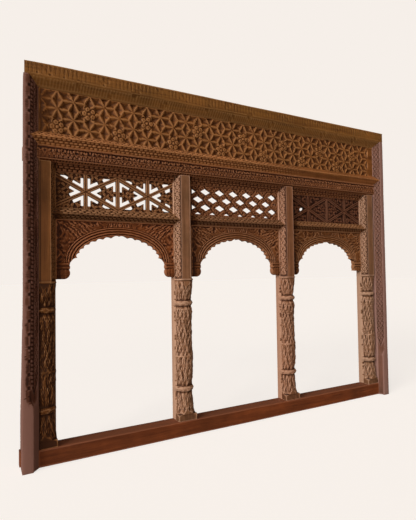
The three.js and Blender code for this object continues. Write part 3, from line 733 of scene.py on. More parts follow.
def frieze_height(x, z):
    """Sunk rhombi between ribs, as heights from 0 on the ribs down to -1."""
    half = (FRIEZE_TOP - GAP - FRIEZE_FOOT) / 5.0
    pitch = half * math.sqrt(3.0)
    gx = (x + STILE_INNER - GAP - 6.0) / pitch
    gz = (z - FRIEZE_FOOT) / half
    i, j = np.floor(gx), np.floor(gz)
    star = (i + j) % 2 == 0
    fx, fz = (gx - i - 0.5) * pitch, (gz - j - 0.5) * half
    long, short = half, pitch / 3.0
    tilt = np.where(star, math.radians(30.0), -math.radians(30.0))
    p = fx * np.cos(tilt) + fz * np.sin(tilt)
    q = -fx * np.sin(tilt) + fz * np.cos(tilt)
    best = 1.0 - np.abs(p) / long - np.abs(q) / short
    for ci, cj in ((0, 0), (1, 0), (0, 1), (1, 1)):
        odd = (i + ci + j + cj) % 2 == 1
        dx, dz = (gx - i - ci) * pitch, (gz - j - cj) * half
        best = np.maximum(best, np.where(odd, 1.0 - np.abs(dz) / long - np.abs(dx) / short, -1.0))
    rib = 0.1
    return -np.clip((best - rib) / (1.0 - rib), 0.0, 1.0) ** 0.9, gx, pitch, half


def star_frieze(depth):
    """The frieze: a board whose front is a star lattice with flowers."""
    reach = STILE_INNER - GAP
    spots, _, sides, _ = outline_of(
        [(-31.0, FRIEZE_FOOT), (-31.0, FRIEZE_TOP - GAP), (FRONT + 4.0, FRIEZE_TOP - GAP), (FRONT + 4.0, FRIEZE_FOOT)],
        (1, 2, 68, 2), 0.8, 1)
    x = stations(-reach, reach, 2.4)
    xs = np.repeat(x[:, None], len(spots), axis=1)
    zs = np.repeat(spots[None, :, 1], len(x), axis=0)
    bent_x, bent_z = hand(xs, zs, 48.0, 1.6, 2.0)
    pits, gx, pitch, half = frieze_height(bent_x, bent_z)
    low = pits * depth
    columns = int((2 * reach - 6.0) / pitch)
    inside = smooth(gx, -0.02, 0.04) * (1.0 - smooth(gx, columns - 0.04, columns + 0.02))
    low = low * inside
    for i in range(1, columns, 2):
        dx = xs - (-reach + 6.0 + i * pitch)
        dz = zs - (FRIEZE_FOOT + (1 if i % 4 == 1 else 3) * half)
        r = np.hypot(dx, dz)
        turn = np.arctan2(dx, dz) + 0.35 * math.sin(7.0 * i)
        petal = np.abs(np.cos(2.5 * turn))
        edge = 26.0 * (0.5 + 0.5 * petal ** 0.5)
        shape = -3.4 + 3.2 * petal ** 0.6 * np.sin(np.pi * np.clip(r / edge, 0, 1)) ** 0.6
        shape = shape - 2.4 * np.exp(-((r - 8.0) / 2.0) ** 2)
        shape = shape - 2.2 * np.exp(-((r - 17.0) / 2.4) ** 2) * petal ** 6
        bead = np.sqrt(np.clip(1 - (r / 5.0) ** 2, 0, 1)) * 3.6 - 1.6
        shape = np.where(r < 5.0, bead, shape)
        rim = -depth * 0.85 * hump((r - edge - 2.2) / 2.2, 0.7)
        low = np.where(r < edge, shape, np.minimum(low, rim))
    worn = 0.7 + 0.45 * rough(xs, zs, 55.0, 1.0)
    worn = worn * (0.35 + 0.65 * smooth(xs, -reach + 4.0, -reach + 95.0))
    chips = 1.5 * (rough(xs, zs, 4.6, 3.0) - 0.5) * (0.4 + 0.6 * smooth(xs, -200.0, 500.0))
    chips = chips - 1.6 * smooth(rough(xs, zs, 9.0, 7.0), 0.66, 0.9)
    low = low * worn + np.minimum(chips, 0.3) * inside
    low = np.where(sides[None, :] == 2, low, 0.0)
    points = np.stack([xs, spots[None, :, 0] - low, zs], axis=2)
    return wrapped_grid("star_frieze_board", close_loop(points))


def ledge(depth):
    seat = LEDGE_TOP - 7.0 - GAP
    edge = FRONT + 4.0 - GAP
    corners = [(0.0, LINTEL_TOP + GAP), (0.0, seat), (edge, seat), (edge, LEDGE_TOP), (edge - 3.0, LEDGE_TOP),
               (FRONT - 17.0, LEDGE_TOP - 18.0), (edge, LINTEL_TOP + GAP)]

    def carve(sides, t, x, y, z):
        right = smooth(x, -50.0, 420.0)
        bent = x + 4.0 * rough(x, z, 50.0)
        upper = bricks(bent, t, 23.0, 3, 1.0)
        lower = bricks(bent, t, 17.0, 3, 2.0)
        edge_fade = smooth(np.minimum(t, 1 - t), 0.0, 0.07)
        wear = (0.6 + 0.5 * rough(x, z, 40.0, 3.0)) * (1 - 0.85 * right)
        low = np.where(sides == 4, depth * 0.9 * (upper - 1) * edge_fade * wear, 0.0)
        low = low + np.where(sides == 5, depth * 0.6 * (lower - 1) * edge_fade * wear, 0.0)
        nose = 1.4 * (rough(x, 0 * x, 14.0, 2.0) - 0.9)
        return low + np.where((sides == -1) & (y < FRONT - 8.0), nose, 0.0)

    return rail_piece("carved_ledge", corners, (1, 2, 1, 1, 12, 15, 2), between_stiles, carve, 2.5, 2.0)


def post_profile(height):
    """The column's radius in mm at each height in mm above its base block."""
    up = np.array([0, 8, 20, 50, 72, 88, 95, 104, 112, 120, 142, 165, 196, 222, 236, 250, 290, 330, 372,
                   400, 414, 427, 440, 445, 452, 458, 465, 482, 502, 522, 540, 551])
    out = np.array([46, 44, 41, 38.5, 36, 34, 37, 41, 36, 35, 39, 41, 41, 41.5, 42.5, 39, 38.5, 38, 37,
                    39.5, 41.5, 40, 34, 38, 41, 37, 34.5, 37, 40, 42, 44, 46])
    return np.interp(height, up, out)


def column_carving(angle, up, salt):
    """Leaves and strands round the half column. angle in radians, up in mm."""
    around, tall = hand(angle / np.pi * 122.0, up, 31.0, 3.0, salt)
    strands = rope(around + 4.0 * np.sin(tall / 13.0 + salt), 0 * tall, 8.5, 0.0)
    low = 0.0
    for start, stop, along, pitch, length, seed, share in (
            (2, 92, 92.0 - tall, 23.0, 34.0, salt, 0.25),
            (112, 234, tall - 106.0, 21.0, 40.0, 2.0 + salt, 0.28),
            (234, 388, tall, 18.0, 26.0, 5.0 + salt, 0.3),
            (388, 440, 440.0 - tall, 20.0, 28.0, 7.0, 0.0),
            (461, 548, tall - 458.0, 20.0, 30.0, 9.0 + salt, 0.25)):
        value = np.maximum(fronds(around, along, pitch, length, seed), share * strands) - 1
        t = np.clip((up - start) / (stop - start), 0, 1)
        fade = smooth(np.minimum(t, 1 - t), 0.0, 0.05)
        low = low + np.where((up >= start) & (up < stop), value * fade - 0.5 * (1.0 - fade), 0.0)
    return low + 0.7 * (rough(around, 0.6 * up, 5.0, 1.0 + salt) - 0.6)


def post(i, depth):
    """One upright: back board, base block, carved half column, abacus and bevelled upper part."""
    cx = POST_X[i]
    z = np.concatenate([
        stations(SILL_TOP + GAP, BLOCK_TOP, 2.0),
        stations(BLOCK_TOP + 1.0, COLUMN_TOP - 6.0, 2.2),
        [COLUMN_TOP - 5.0, COLUMN_TOP - 3.0, COLUMN_TOP, COLUMN_TOP + 2.5],
        stations(COLUMN_TOP + 5.0, LINTEL_SEAT - GAP, 2.4),
    ])
    side_steps, bevel_steps, face_steps = 3, 21, 16
    front_count = 2 * bevel_steps + face_steps + 1
    angle = np.linspace(-np.pi / 2, np.pi / 2, front_count)
    bevel = np.linspace(0.0, 1.0, bevel_steps + 1)
    hex_x = np.concatenate([-POST_HALF + (POST_HALF - POST_FACE) * bevel,
                            np.linspace(-POST_FACE, POST_FACE, face_steps + 1)[1:-1],
                            POST_FACE + (POST_HALF - POST_FACE) * bevel])
    hex_y = np.concatenate([POST_SIDE + (FRONT - POST_SIDE) * bevel, np.full(face_steps - 1, FRONT),
                            FRONT + (POST_SIDE - FRONT) * bevel])
    place = np.linspace(0, 1, front_count)
    turns = [0, 0.24, 0.76, 1]
    box_x = np.interp(place, turns, [-POST_HALF, -POST_HALF, POST_HALF, POST_HALF])
    box_y = np.interp(place, turns, [POST_SIDE, FRONT, FRONT, POST_SIDE])
    lean = math.asin(4.0 / 36.0)
    rings = []
    for height in z:
        up = (height - BLOCK_TOP) * 551.0 / (COLUMN_TOP - BLOCK_TOP)
        if height <= BLOCK_TOP:
            fx = np.clip(box_x, -BLOCK_HALF, BLOCK_HALF)
            fy = box_y + (1.5 + 1.2 * rough(fx, 0 * fx + height, 20.0)) * (box_y < POST_SIDE - 5)
        elif height < COLUMN_TOP - 5.5:
            radius = post_profile(up) + 0.8 + depth * column_carving(angle, np.full_like(angle, up), i)
            square = 1.0 - smooth(height, BLOCK_TOP, BLOCK_TOP + 14.0)
            radius = np.clip(radius, 8.0, 42.0) * (1.0 + 0.05 * square)
            turn = angle * (1 - 2 * lean / np.pi)
            fx = np.clip(radius * np.sin(turn), -BLOCK_HALF, BLOCK_HALF)
            fy = np.clip(COLUMN_AXIS - radius * np.cos(turn), FRONT + 2.0, POST_SIDE)
        elif height <= COLUMN_TOP + 0.5:
            swell = 0.5 + 0.5 * smooth(height, COLUMN_TOP - 6, COLUMN_TOP)
            fx = np.clip(POST_HALF * 1.06 * np.sin(angle), -POST_HALF, POST_HALF)
            fy = np.minimum(POST_SIDE, np.maximum(COLUMN_AXIS - 46.0 * np.cos(angle), FRONT + 1.5 * (1 - swell)))
        else:
            fx, fy = hex_x.copy(), hex_y.copy()
            wide = 1.0 - smooth(height, COLUMN_TOP, COLUMN_TOP + 10.0)
            on_left = place < bevel_steps / (front_count - 1)
            on_right = place > 1 - bevel_steps / (front_count - 1)
            t = np.where(on_left, place * (front_count - 1) / bevel_steps,
                         np.where(on_right, (1 - place) * (front_count - 1) / bevel_steps, 0.0))
            across, tall = hand(t * 42.0, 0 * t + height, 22.0, 1.2, i)
            cut = scales(across, tall, 20.0, 14.5, 1.0 + i) - 1.0
            plain = 0.12 if i < 3 else 0.7
            cut = cut * (0.7 + 0.5 * rough(t * 12.0, 0 * t + height, 30.0, i))
            cut = cut * (plain + (1 - plain) * smooth(t, 0.06, 0.14))
            bevelled = on_left | on_right
            fade = smooth(np.minimum(t, 1 - t), 0.0, 0.06) * bevelled
            nx = np.where(on_left, -0.87, 0.87) * bevelled
            ny = np.where(bevelled, -0.49, -1.0)
            low = np.where(bevelled, depth * 1.05 * cut * fade, -0.9 * (1 - rough(fx, 0 * fx + height, 45.0, i)))
            fx, fy = fx + nx * low, fy + ny * low
            fx = np.clip(fx * (1.0 + 0.05 * wide), -POST_HALF, POST_HALF)
        sides = np.linspace(0.0, 1.0, side_steps + 1)[:-1]
        left = np.stack([np.full(side_steps, -POST_HALF), POST_SIDE * sides], axis=1)
        right = np.stack([np.full(side_steps, POST_HALF), POST_SIDE * (1 - sides)], axis=1)
        ring = np.concatenate([left, np.stack([fx, fy], axis=1), right[1:], [[POST_HALF, 0.0]]])
        ring[:, 0] = np.clip(ring[:, 0] + cx, -STILE_INNER + GAP, STILE_INNER - GAP)
        rings.append(np.column_stack([ring, np.full(len(ring), height)]))
    name = ("left_jamb", "left_post", "right_post", "right_jamb")[i]
    return wrapped_grid(name + "_carved", close_loop(np.array(rings)))


def box(low, high):
    """A block between two corners, in mm."""
    clear_selection()
    low, high = np.array(low, float), np.array(high, float)
    bpy.ops.mesh.primitive_cube_add(size=1, location=tuple(to_metres([(low + high) / 2])[0]))
    block = bpy.context.object
    block.scale = tuple((high - low) / 1000)
    bpy.ops.object.transform_apply(location=True, rotation=False, scale=True)
    return block


def tenon_block(side, low, high, proud):
    """The end of a through tenon, from just inside the stile to where it stands proud."""
    near, far = sorted((side * (STILE_INNER - 1.0), side * (HALF_WIDTH + proud)))
    block = box((near, -34.0, low), (far, -8.0, high))
    bpy.ops.object.mode_set(mode="EDIT")
    bpy.ops.mesh.select_all(action="SELECT")
    bpy.ops.mesh.subdivide(number_cuts=3)
    bpy.ops.object.mode_set(mode="OBJECT")
    return block


def combine(piece, other, operation):
    """Joins another closed shape to a piece, or takes its room out of it."""
    pick(piece)
    change = piece.modifiers.new("shape", "BOOLEAN")
    change.operation = operation
    change.solver = "EXACT"
    change.object = other
    bpy.ops.object.modifier_apply(modifier="shape")
    bpy.data.objects.remove(other, do_unlink=True)


def join_solid(pieces, name):
    """Joins closed shells into one."""
    for other in pieces[1:]:
        combine(pieces[0], other, "UNION")
    pieces[0].name = name
    return pieces[0]


def sill():
    corners = [(0.0, 0.0), (0.0, SILL_TOP), (FRONT, SILL_TOP), (FRONT, 0.0)]

    def carve(sides, t, x, y, z):
        front = -1.2 * (1 - rough(x, z, 130.0, 1.0)) - 0.5 * (1 - rough(x, z * 6, 25.0, 4.0))
        split = -1.5 * np.exp(-((z - 38.0 - 5 * np.sin(x / 190.0)) / 0.8) ** 2) * smooth(x, 100, 300) * (x < 760)
        top = -0.8 * (1 - rough(x, y, 90.0, 2.0))
        return np.where(sides == 2, front + split, 0.0) + np.where((sides == 1) | (sides == -1), top, 0.0)

    body = rail_piece("sill_beam", corners, (2, 7, 12, 3), between_stiles, carve, 9.0, 2.6)
    return join_solid([body, tenon_block(-1, 4.0, 56.0, 5.0), tenon_block(1, 4.0, 56.0, 5.0)], "sill_beam")


def lintel(depth):
    """Carved beam. It runs behind the ledge and its foot stops between the posts' heads."""
    top = LINTEL_TOP - GAP
    corners = [(0.0, LINTEL_EDGE), (0.0, top), (FRONT, top), (FRONT, LINTEL_SEAT + 8.0), (FRONT + 8.0, LINTEL_SEAT),
               (FRONT + 36.0, LINTEL_EDGE)]

    def carve(sides, t, x, y, z):
        bent_x, bent_z = hand(x, z, 30.0, 3.0, 3.0)
        petals = scales(bent_x, 1096.0 - bent_z, 15.5, 15.0, 2.0)
        sprigs = leafage(bent_x, bent_z, 11.0, 0.9, 5.0)
        face = np.where(bent_z > 1097.0, sprigs, petals) * (1 - 0.6 * hump((z - 1097.0) / 1.8)) - 1.0
        low = np.where((sides == 2) & (z > 1073.0) & (z < 1114.5), depth * 1.25 * face, 0.0)
        low = low * smooth(z, 1073.0, 1076.0) * (1 - smooth(z, 1111.0, 1114.0))
        strand = np.where(sides == 3, rope(x, t, 11.0, 0.3) - 1, 0.0)
        dent = np.where(sides == 4, bricks(x + 3.0 * rough(x, z, 50.0), t, 19.0, 3, 6.0) - 1.0, 0.0)
        dent = dent * smooth(np.minimum(t, 1 - t), 0.0, 0.06)
        wear = 0.55 + 0.55 * rough(x, z, 60.0, 8.0)
        wear = wear * (0.3 + 0.7 * smooth(x, -STILE_INNER + 20.0, -STILE_INNER + 110.0))
        return wear * (low + depth * 0.6 * strand + depth * 1.0 * dent)

    return rail_piece("lintel_beam", corners, (1, 2, 20, 5, 11, 2), between_stiles, carve, 2.5, 1.6)


def transom(i, depth):
    """Short nosed rail. Its nose runs to a point on each post's bevel."""
    edge = FRONT + 30.0
    nose = FRONT + 4.0
    corners = [(FRONT + 56.0, TRANSOM_FOOT), (FRONT + 56.0, TRANSOM_TOP), (edge, TRANSOM_TOP),
               (nose, TRANSOM_TOP - 25.0), (edge, TRANSOM_FOOT)]

    def ends(y, z):
        bevel = POST_HALF + (POST_FACE - POST_HALF) * np.clip((y - POST_SIDE) / (FRONT - POST_SIDE), 0.0, 1.0)
        return POST_PITCH / 2 - bevel - GAP

    def carve(sides, t, x, y, z):
        bent = x + 3.0 * rough(x, z, 40.0, i)
        upper = bricks(bent, t, 23.0, 3, 1.0 + i)
        lower = bricks(bent, t, 17.0, 3, 2.0 + i)
        fade = smooth(np.minimum(t, 1 - t), 0.0, 0.07)
        wear = 0.6 + 0.5 * rough(x, z, 33.0, 2.0 + i)
        low = np.where(sides == 2, depth * 0.95 * (upper - 1), 0.0)
        low = low + np.where(sides == 3, depth * 0.7 * (lower - 1), 0.0)
        nose_wear = np.where((sides == -1) & (y < FRONT + 12.0), 1.2 * (rough(x, 0 * x, 12.0, 4.0) - 0.9), 0.0)
        return low * fade * wear + nose_wear

    piece = rail_piece(BAYS[i] + "_transom", corners, (1, 2, 15, 11, 2), ends, carve, 2.4, 1.8)
    spots = read_spots(piece)
    spots[:, 0] += BAY_X[i] / 1000.0
    write_spots(piece, spots)
    return piece


# ---------------------------------------------------------------- arches
ARCH_SPAN = BAY_CLEAR / 2 - 67.0
ARCH_RISE = 94.0
ARCH_SPRING = 62.0
ARCH_HEIGHT = TRANSOM_FOOT - GAP - ARCH_FOOT
ARCH_FRONT = FRONT + 31.0
ARCH_BACK = ARCH_FRONT + 22.0
ARCH_SHIFTS = (6.0, 0.0, -7.0)
BUD_EDGE = ARCH_SPAN + 24.0
SPRING_ANGLE = math.radians(10.0)


def arch_edge(square_foot, reach):
    """One half of an arch's inner outline and the matching outer outline, from the foot to the apex.
    reach is the panel's side, measured from the arch's middle."""
    inner, outer = [], []
    if square_foot:
        low = 15.0
        for f in np.linspace(0, 1, 10):
            inner.append((reach - (reach - BUD_EDGE + 1.0) * f, low + 0.8 * math.sin(9.0 * f)))
            outer.append((reach, low))
        for f in np.linspace(0, 1, 26)[1:]:
            inner.append((BUD_EDGE - 1.0 + 1.6 * math.sin(12.0 * f), low + (66.0 - low) * f))
            outer.append((reach, low + (58.0 - low) * f))
    else:
        bud = BUD_EDGE + 22.0
        for f in np.linspace(0, 1, 26):
            angle = -math.pi / 2 - f * math.radians(124.0)
            inner.append((bud + 22.0 * math.cos(angle), 22.0 * (1 + math.sin(angle))))
            outer.append((reach, min(inner[-1][1], 30.0 * f)))
        for f in np.linspace(0, 1, 16)[1:]:
            ring = 2.4 * abs(math.sin(1.5 * math.pi * f)) ** 0.7
            inner.append((BUD_EDGE + 2.4 - ring, 34.5 + 25.0 * f))
            outer.append((reach, 30.0 + 24.0 * f))
        for f in np.linspace(0, 1, 6)[1:]:
            inner.append((BUD_EDGE - 5.0 * f, 59.5 + 6.5 * f))
            outer.append((reach, 54.0 + 5.0 * f))
    start = inner[-1]
    corner = math.atan2(ARCH_HEIGHT - ARCH_SPRING, reach)
    angles = np.concatenate([np.linspace(SPRING_ANGLE, corner, 26), np.linspace(corner, math.pi / 2, 66)[1:]])
    share = (angles - SPRING_ANGLE) / (math.pi / 2 - SPRING_ANGLE) * 7.0
    bite = 7.5 * np.abs(np.sin(share * math.pi)) ** 0.7
    peak = 6.0 * np.clip(1.0 - (math.pi / 2 - angles) / 0.14, 0.0, 1.0)
    x = (ARCH_SPAN + bite) * np.cos(angles)
    z = ARCH_SPRING + (ARCH_RISE + bite * 0.85 + peak) * np.sin(angles)
    for f in np.linspace(0, 1, 8)[1:-1]:
        sag = 2.5 * math.sin(math.pi * f)
        inner.append((start[0] + (x[0] - start[0]) * f + sag, start[1] + (z[0] - start[1]) * f + sag))
        outer.append((reach, outer[-1][1] + 2.0))
    inner.extend(zip(x, z))
    first = math.atan2(outer[-1][1] + 3.0 - ARCH_SPRING, reach)
    spread = first + (angles - SPRING_ANGLE) / (corner - SPRING_ANGLE) * (corner - first)
    for a, given in zip(angles, spread):
        a = given if a < corner else a
        if a <= corner + 1e-6:
            outer.append((reach, ARCH_SPRING + reach * math.tan(a)))
        else:
            outer.append((0.0 if a > math.pi / 2 - 1e-6 else (ARCH_HEIGHT - ARCH_SPRING) / math.tan(a), ARCH_HEIGHT))
    return np.array(inner), np.array(outer)


def arch_carving(x, z, salt, depth):
    """Mouldings that follow the arch, and leaves in the corners."""
    up = z - ARCH_SPRING
    ring = np.where(up > 0, np.hypot(x / ARCH_SPAN, up / ARCH_RISE), np.abs(x) / ARCH_SPAN)
    scale = np.where(up > 0, np.hypot(x / ARCH_SPAN ** 2, up / ARCH_RISE ** 2) / np.maximum(ring, 1e-3),
                     1.0 / ARCH_SPAN)
    away = (ring - 1.0) / np.maximum(scale, 1e-5)
    along = np.arctan2(up, np.abs(x)) * 150.0
    first = hump((away - 18.0) / 5.0, 0.5)
    second = hump((away - 28.0) / 4.6, 0.5)
    third = 0.9 * hump((away - 37.0) / 3.4, 0.5)
    bent, out = hand(along + 0.6 * away * np.sin(along / 19.0 + salt), away, 19.0, 6.5, salt)
    flames = fronds(bent, out - 40.0, 25.0, 26.0, salt)
    vine = leafage(np.abs(x) + 7.0 * np.sin(z / 31.0 + salt), z, 16.0, 1.0, salt + 2.0)
    field = np.clip(np.maximum(1.1 * flames, 0.6 * vine), 0.0, 1.0) * (away > 41.5)
    height = np.maximum.reduce([first, second, third, field])
    height = np.maximum(height, 0.95 * (1 - smooth(away, 10.5, 13.0)))
    border = smooth(ARCH_HEIGHT - z, 2.0, 5.0)
    worn = 0.65 + 0.5 * rough(x, z, 40.0, salt)
    low = (height - 1.0) * depth * border * worn
    bud = np.clip(1 - ((np.abs(x) - BUD_EDGE - 22.0) / 24.0) ** 2 - ((z - 19.0) / 20.0) ** 2, 0, 1)
    leaf = leaf_row(np.abs(x) * 1.0, np.clip(1 - z / 36.0, 0, 1), 15.0, 0.0, 3, salt)
    low = np.where(z < 36.0, 4.6 * np.sqrt(bud) - 1.8 + 1.6 * (leaf - 1.0), low)
    collar = (z >= 36.0) & (z < 60.0)
    low = np.where(collar, 2.4 * np.abs(np.sin((z - 36.0) / 12.0 * math.pi)) ** 0.7 - 1.9, low)
    return low + 0.5 * (rough(x, z, 4.0, salt) - 0.6)


def arch(i, depth):
    """Cusped arch panel. A grid wraps its front, its cusped edge and its back."""
    shift = ARCH_SHIFTS[i]
    reach = BAY_CLEAR / 2 - GAP
    left_in, left_out = arch_edge(False, reach + shift)
    right_in, right_out = arch_edge(i == 2, reach - shift)
    inner = np.concatenate([left_in * (-1, 1), right_in[::-1][1:]])
    outer = np.concatenate([left_out * (-1, 1), right_out[::-1][1:]])
    steps = 64
    share = np.linspace(0, 1, steps + 1) ** 1.12
    face = inner[:, None, :] + (outer - inner)[:, None, :] * share[None, :, None]
    x, z = face[..., 0], face[..., 1]
    low = arch_carving(x, z, 1.0 + i, depth)
    edge = smooth(share[None, :] * np.linalg.norm(outer - inner, axis=1)[:, None], 0.0, 3.0)
    low = low * edge - (1 - edge) * 1.2
    front = np.stack([x, np.minimum(ARCH_FRONT - low, ARCH_BACK - 6.0), z], axis=2)
    back_share = np.linspace(1, 0, 3)
    back = inner[:, None, :] + (outer - inner)[:, None, :] * back_share[None, :, None]
    back = np.stack([back[..., 0], np.full(back.shape[:2], ARCH_BACK), back[..., 1]], axis=2)
    reveal = []
    for f in np.linspace(0, 1, 6)[1:-1]:
        deep = np.full(len(inner), ARCH_BACK + (ARCH_FRONT - ARCH_BACK) * f)
        reveal.append(np.stack([inner[:, 0], deep, inner[:, 1]], axis=1))
    points = np.concatenate([front, back, np.stack(reveal, axis=1)], axis=1)
    points[..., 0] += BAY_X[i] + shift
    points[..., 2] += ARCH_FOOT
    return wrapped_grid(BAYS[i] + "_cusped_arch", close_loop(points))


# ---------------------------------------------------------------- grilles
GRILLE_TRIANGLES = 49000.0


def slit_backs():
    """A thin sheet behind the right grille's slits."""
    half = BAY_CLEAR / 2 - 4.0
    return box((BAY_X[2] - half, -18.0, TRANSOM_TOP + 4.0), (BAY_X[2] + half, -13.2, LINTEL_EDGE - 4.0))


def worn_hole():
    """The one place, by its left end, where the right grille is open right through."""
    clear_selection()
    middle = to_metres([(BAY_X[2] - 166.0, -20.0, 967.0)])[0]
    bpy.ops.mesh.primitive_cylinder_add(vertices=24, radius=0.0075, depth=0.04, location=tuple(middle),
                                        rotation=(math.pi / 2, 0.0, 0.0))
    hole = bpy.context.object
    hole.scale = (2.0, 1.0, 1.0)
    bpy.ops.object.transform_apply(location=False, rotation=True, scale=True)
    hole.rotation_euler = (0.0, -0.3, 0.0)
    bpy.ops.object.transform_apply(location=True, rotation=True, scale=True)
    return hole


def grille(i, depth):
    """Pierced panel: the frame's own shape, evenly remeshed and then carved on its front."""
    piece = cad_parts["grille_" + BAYS[i]].copy()
    piece.data = piece.data.copy()
    for key in [k for k in piece.keys() if k.startswith("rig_")]:
        del piece[key]
    piece.parent = None
    bpy.context.scene.collection.objects.link(piece)
    piece.hide_render = False
    piece.hide_viewport = False
    piece.name = ("left_star", "middle_diamond", "right_star")[i] + "_grille"
    pick(piece)
    bpy.ops.object.mode_set(mode="EDIT")
    bpy.ops.mesh.select_all(action="SELECT")
    bpy.ops.mesh.remove_doubles(threshold=0.00001)
    bpy.ops.object.mode_set(mode="OBJECT")
    if i == 2:
        piece = join_solid([piece, slit_backs()], "right_star_grille")
        combine(piece, worn_hole(), "DIFFERENCE")
    piece.data.remesh_voxel_size = 0.0017
    piece.data.remesh_voxel_adaptivity = 0.0
    bpy.ops.object.voxel_remesh()
    spots, normals = vertex_array(piece), vertex_array(piece, "normal")
    x = spots[:, 0].astype(float) * 1000 - BAY_X[i]
    z = spots[:, 2].astype(float) * 1000 + SILL_HALF - (TRANSOM_TOP + LINTEL_EDGE) / 2
    facing = smooth(-normals[:, 1].astype(float), 0.5, 0.9)
    if i == 1:
        row = (z - (LINTEL_EDGE - GAP - 25.5 - (TRANSOM_TOP + LINTEL_EDGE) / 2)) / 34.0
        u = (x + 14.0) / 71.5
        a = np.abs(((u + row / 2 + 0.25) % 1.0) - 0.5)
        b = np.abs(((u - row / 2 + 0.25) % 1.0) - 0.5)
        line = np.minimum(a, b)
        low = -depth * 0.8 * hump(line / 0.1, 0.7)
        low = low - depth * 0.8 * (1.0 - leafage(x, z, 8.0, 0.8, 4.0))
    else:
        line, star = star_lines(x, z)
        groove = -depth * 0.55 * hump(line / 1.7, 0.7)
        leaves = depth * 1.2 * (leafage(x, z, 15.0, 0.7, 3.0 + i) - 1.0)
        low = np.where(line < 7.0, groove, leaves) - 3.0 * recess(line, star) * (i == 2)
    spots[:, 1] -= (low * facing / 1000.0).astype(np.float32)
    write_spots(piece, spots)
    pick(piece)
    thin = piece.modifiers.new("thin", "DECIMATE")
    thin.ratio = GRILLE_TRIANGLES / (2 * len(piece.data.polygons))
    bpy.ops.object.modifier_apply(modifier="thin")
    return piece


# ---------------------------------------------------------------- stage
PHOTO_TURN = 0.494638
PHOTO_TILT = -0.0289695
PHOTO_ROLL = -0.0144474
PHOTO_SPOT = (-1.019452, -1.625371, 0.632213)
PHOTO_LENS = 420.0 / 416.0 * 36.0


def photo_camera():
    data = bpy.data.cameras.new("Photo view")
    camera = bpy.data.objects.new("Photo view", data)
    bpy.context.scene.collection.objects.link(camera)
    data.sensor_fit = "HORIZONTAL"
    data.sensor_width = 36.0
    data.lens = PHOTO_LENS
    data.clip_end = 60.0
    base = Matrix(((1, 0, 0), (0, 0, -1), (0, 1, 0)))
    turn = Matrix.Rotation(PHOTO_TURN, 3, "Z")
    tilt = Matrix.Rotation(PHOTO_TILT, 3, "X")
    roll = Matrix.Rotation(PHOTO_ROLL, 3, "Z")
    look = roll @ tilt @ base @ turn
    right, down, ahead = (Vector(look[k]) for k in range(3))
    view = Matrix((right, -down, -ahead)).transposed().to_4x4()
    view.translation = Vector(PHOTO_SPOT)
    camera.matrix_world = view
    bpy.context.scene.camera = camera


def soft_sun(name, towards, angle, power, colour):
    """A broad far light. towards points from the frame to the light; angle is its breadth."""
    data = bpy.data.lights.new(name, "SUN")
    data.energy = power
    data.angle = math.radians(angle)
    data.color = colour
    lamp = bpy.data.objects.new(name, data)
    bpy.context.scene.collection.objects.link(lamp)
    lamp.rotation_euler = Vector(towards).to_track_quat("Z", "Y").to_euler()


# ---------------------------------------------------------------- add-on
def colour_property(name, description, value):
    return bpy.props.FloatVectorProperty(name=name, description=description, subtype="COLOR", size=3,
                                         min=0.0, max=1.0, default=value)


def depth_property(name, description, value):
    return bpy.props.FloatProperty(name=name, description=description, default=value, min=0.5, max=12.0)


class WindowCarving(bpy.types.PropertyGroup):
    stile_depth: depth_property("Stile carving", "Depth of the carving on the stiles' bevels, in mm", 3.6)
    rail_depth: depth_property("Rail carving", "Depth of the carving on the top rail, ledge and lintel, in mm", 4.6)
    frieze_depth: depth_property("Frieze pits", "Depth of the frieze's sunk rhombi, in mm", 9.5)
    post_depth: depth_property("Post carving", "Depth of the carving on the posts, in mm", 5.2)
    arch_depth: depth_property("Arch carving", "Depth of the carving on the arches, in mm", 6.5)
    grille_depth: depth_property("Grille carving", "Depth of the carving on the grilles, in mm", 3.6)


class WindowFinish(bpy.types.PropertyGroup):
    golden_wood: colour_property("Golden wood", "Top rail, frieze, ledge, transoms and grilles", (0.20, 0.08, 0.026))
    purple_wood: colour_property("Purple wood", "Stiles", (0.145, 0.062, 0.04))
    pale_wood: colour_property("Pale wood", "Posts", (0.25, 0.10, 0.042))
    red_wood: colour_property("Red wood", "Sill and arches", (0.17, 0.058, 0.022))
    dark_wood: colour_property("Dark wood", "Lintel", (0.125, 0.045, 0.019))
    room: colour_property("Room", "Floor and surroundings", (0.922, 0.864, 0.815))


class WINDOW_OT_stiles(bpy.types.Operator):
    """Add the two outer uprights"""
    bl_idname = "window.stiles"
    bl_label = "Stiles"

    def execute(self, context):
        depth = context.scene.window_carving.stile_depth
        for side, name in ((-1, "stile_left"), (1, "stile_right")):
            settle(stile(side, depth), name, wear=stile_wear)
        return {"FINISHED"}


class WINDOW_OT_top_rail(bpy.types.Operator):
    """Add the fluted rail at the top"""
    bl_idname = "window.top_rail"
    bl_label = "Top rail"

    def execute(self, context):
        depth = context.scene.window_carving.rail_depth
        settle(top_rail(depth), "top_rail", wear=pale_bevel)
        return {"FINISHED"}


class WINDOW_OT_star_frieze(bpy.types.Operator):
    """Add the board with sunk stars and flowers"""
    bl_idname = "window.star_frieze"
    bl_label = "Star frieze"

    def execute(self, context):
        depth = context.scene.window_carving.frieze_depth
        settle(star_frieze(depth), "star_frieze", 50.0, frieze_dirt)
        return {"FINISHED"}


class WINDOW_OT_ledge(bpy.types.Operator):
    """Add the nosed ledge under the frieze"""
    bl_idname = "window.ledge"
    bl_label = "Ledge"

    def execute(self, context):
        depth = context.scene.window_carving.rail_depth
        settle(ledge(depth), "ledge_rail")
        return {"FINISHED"}


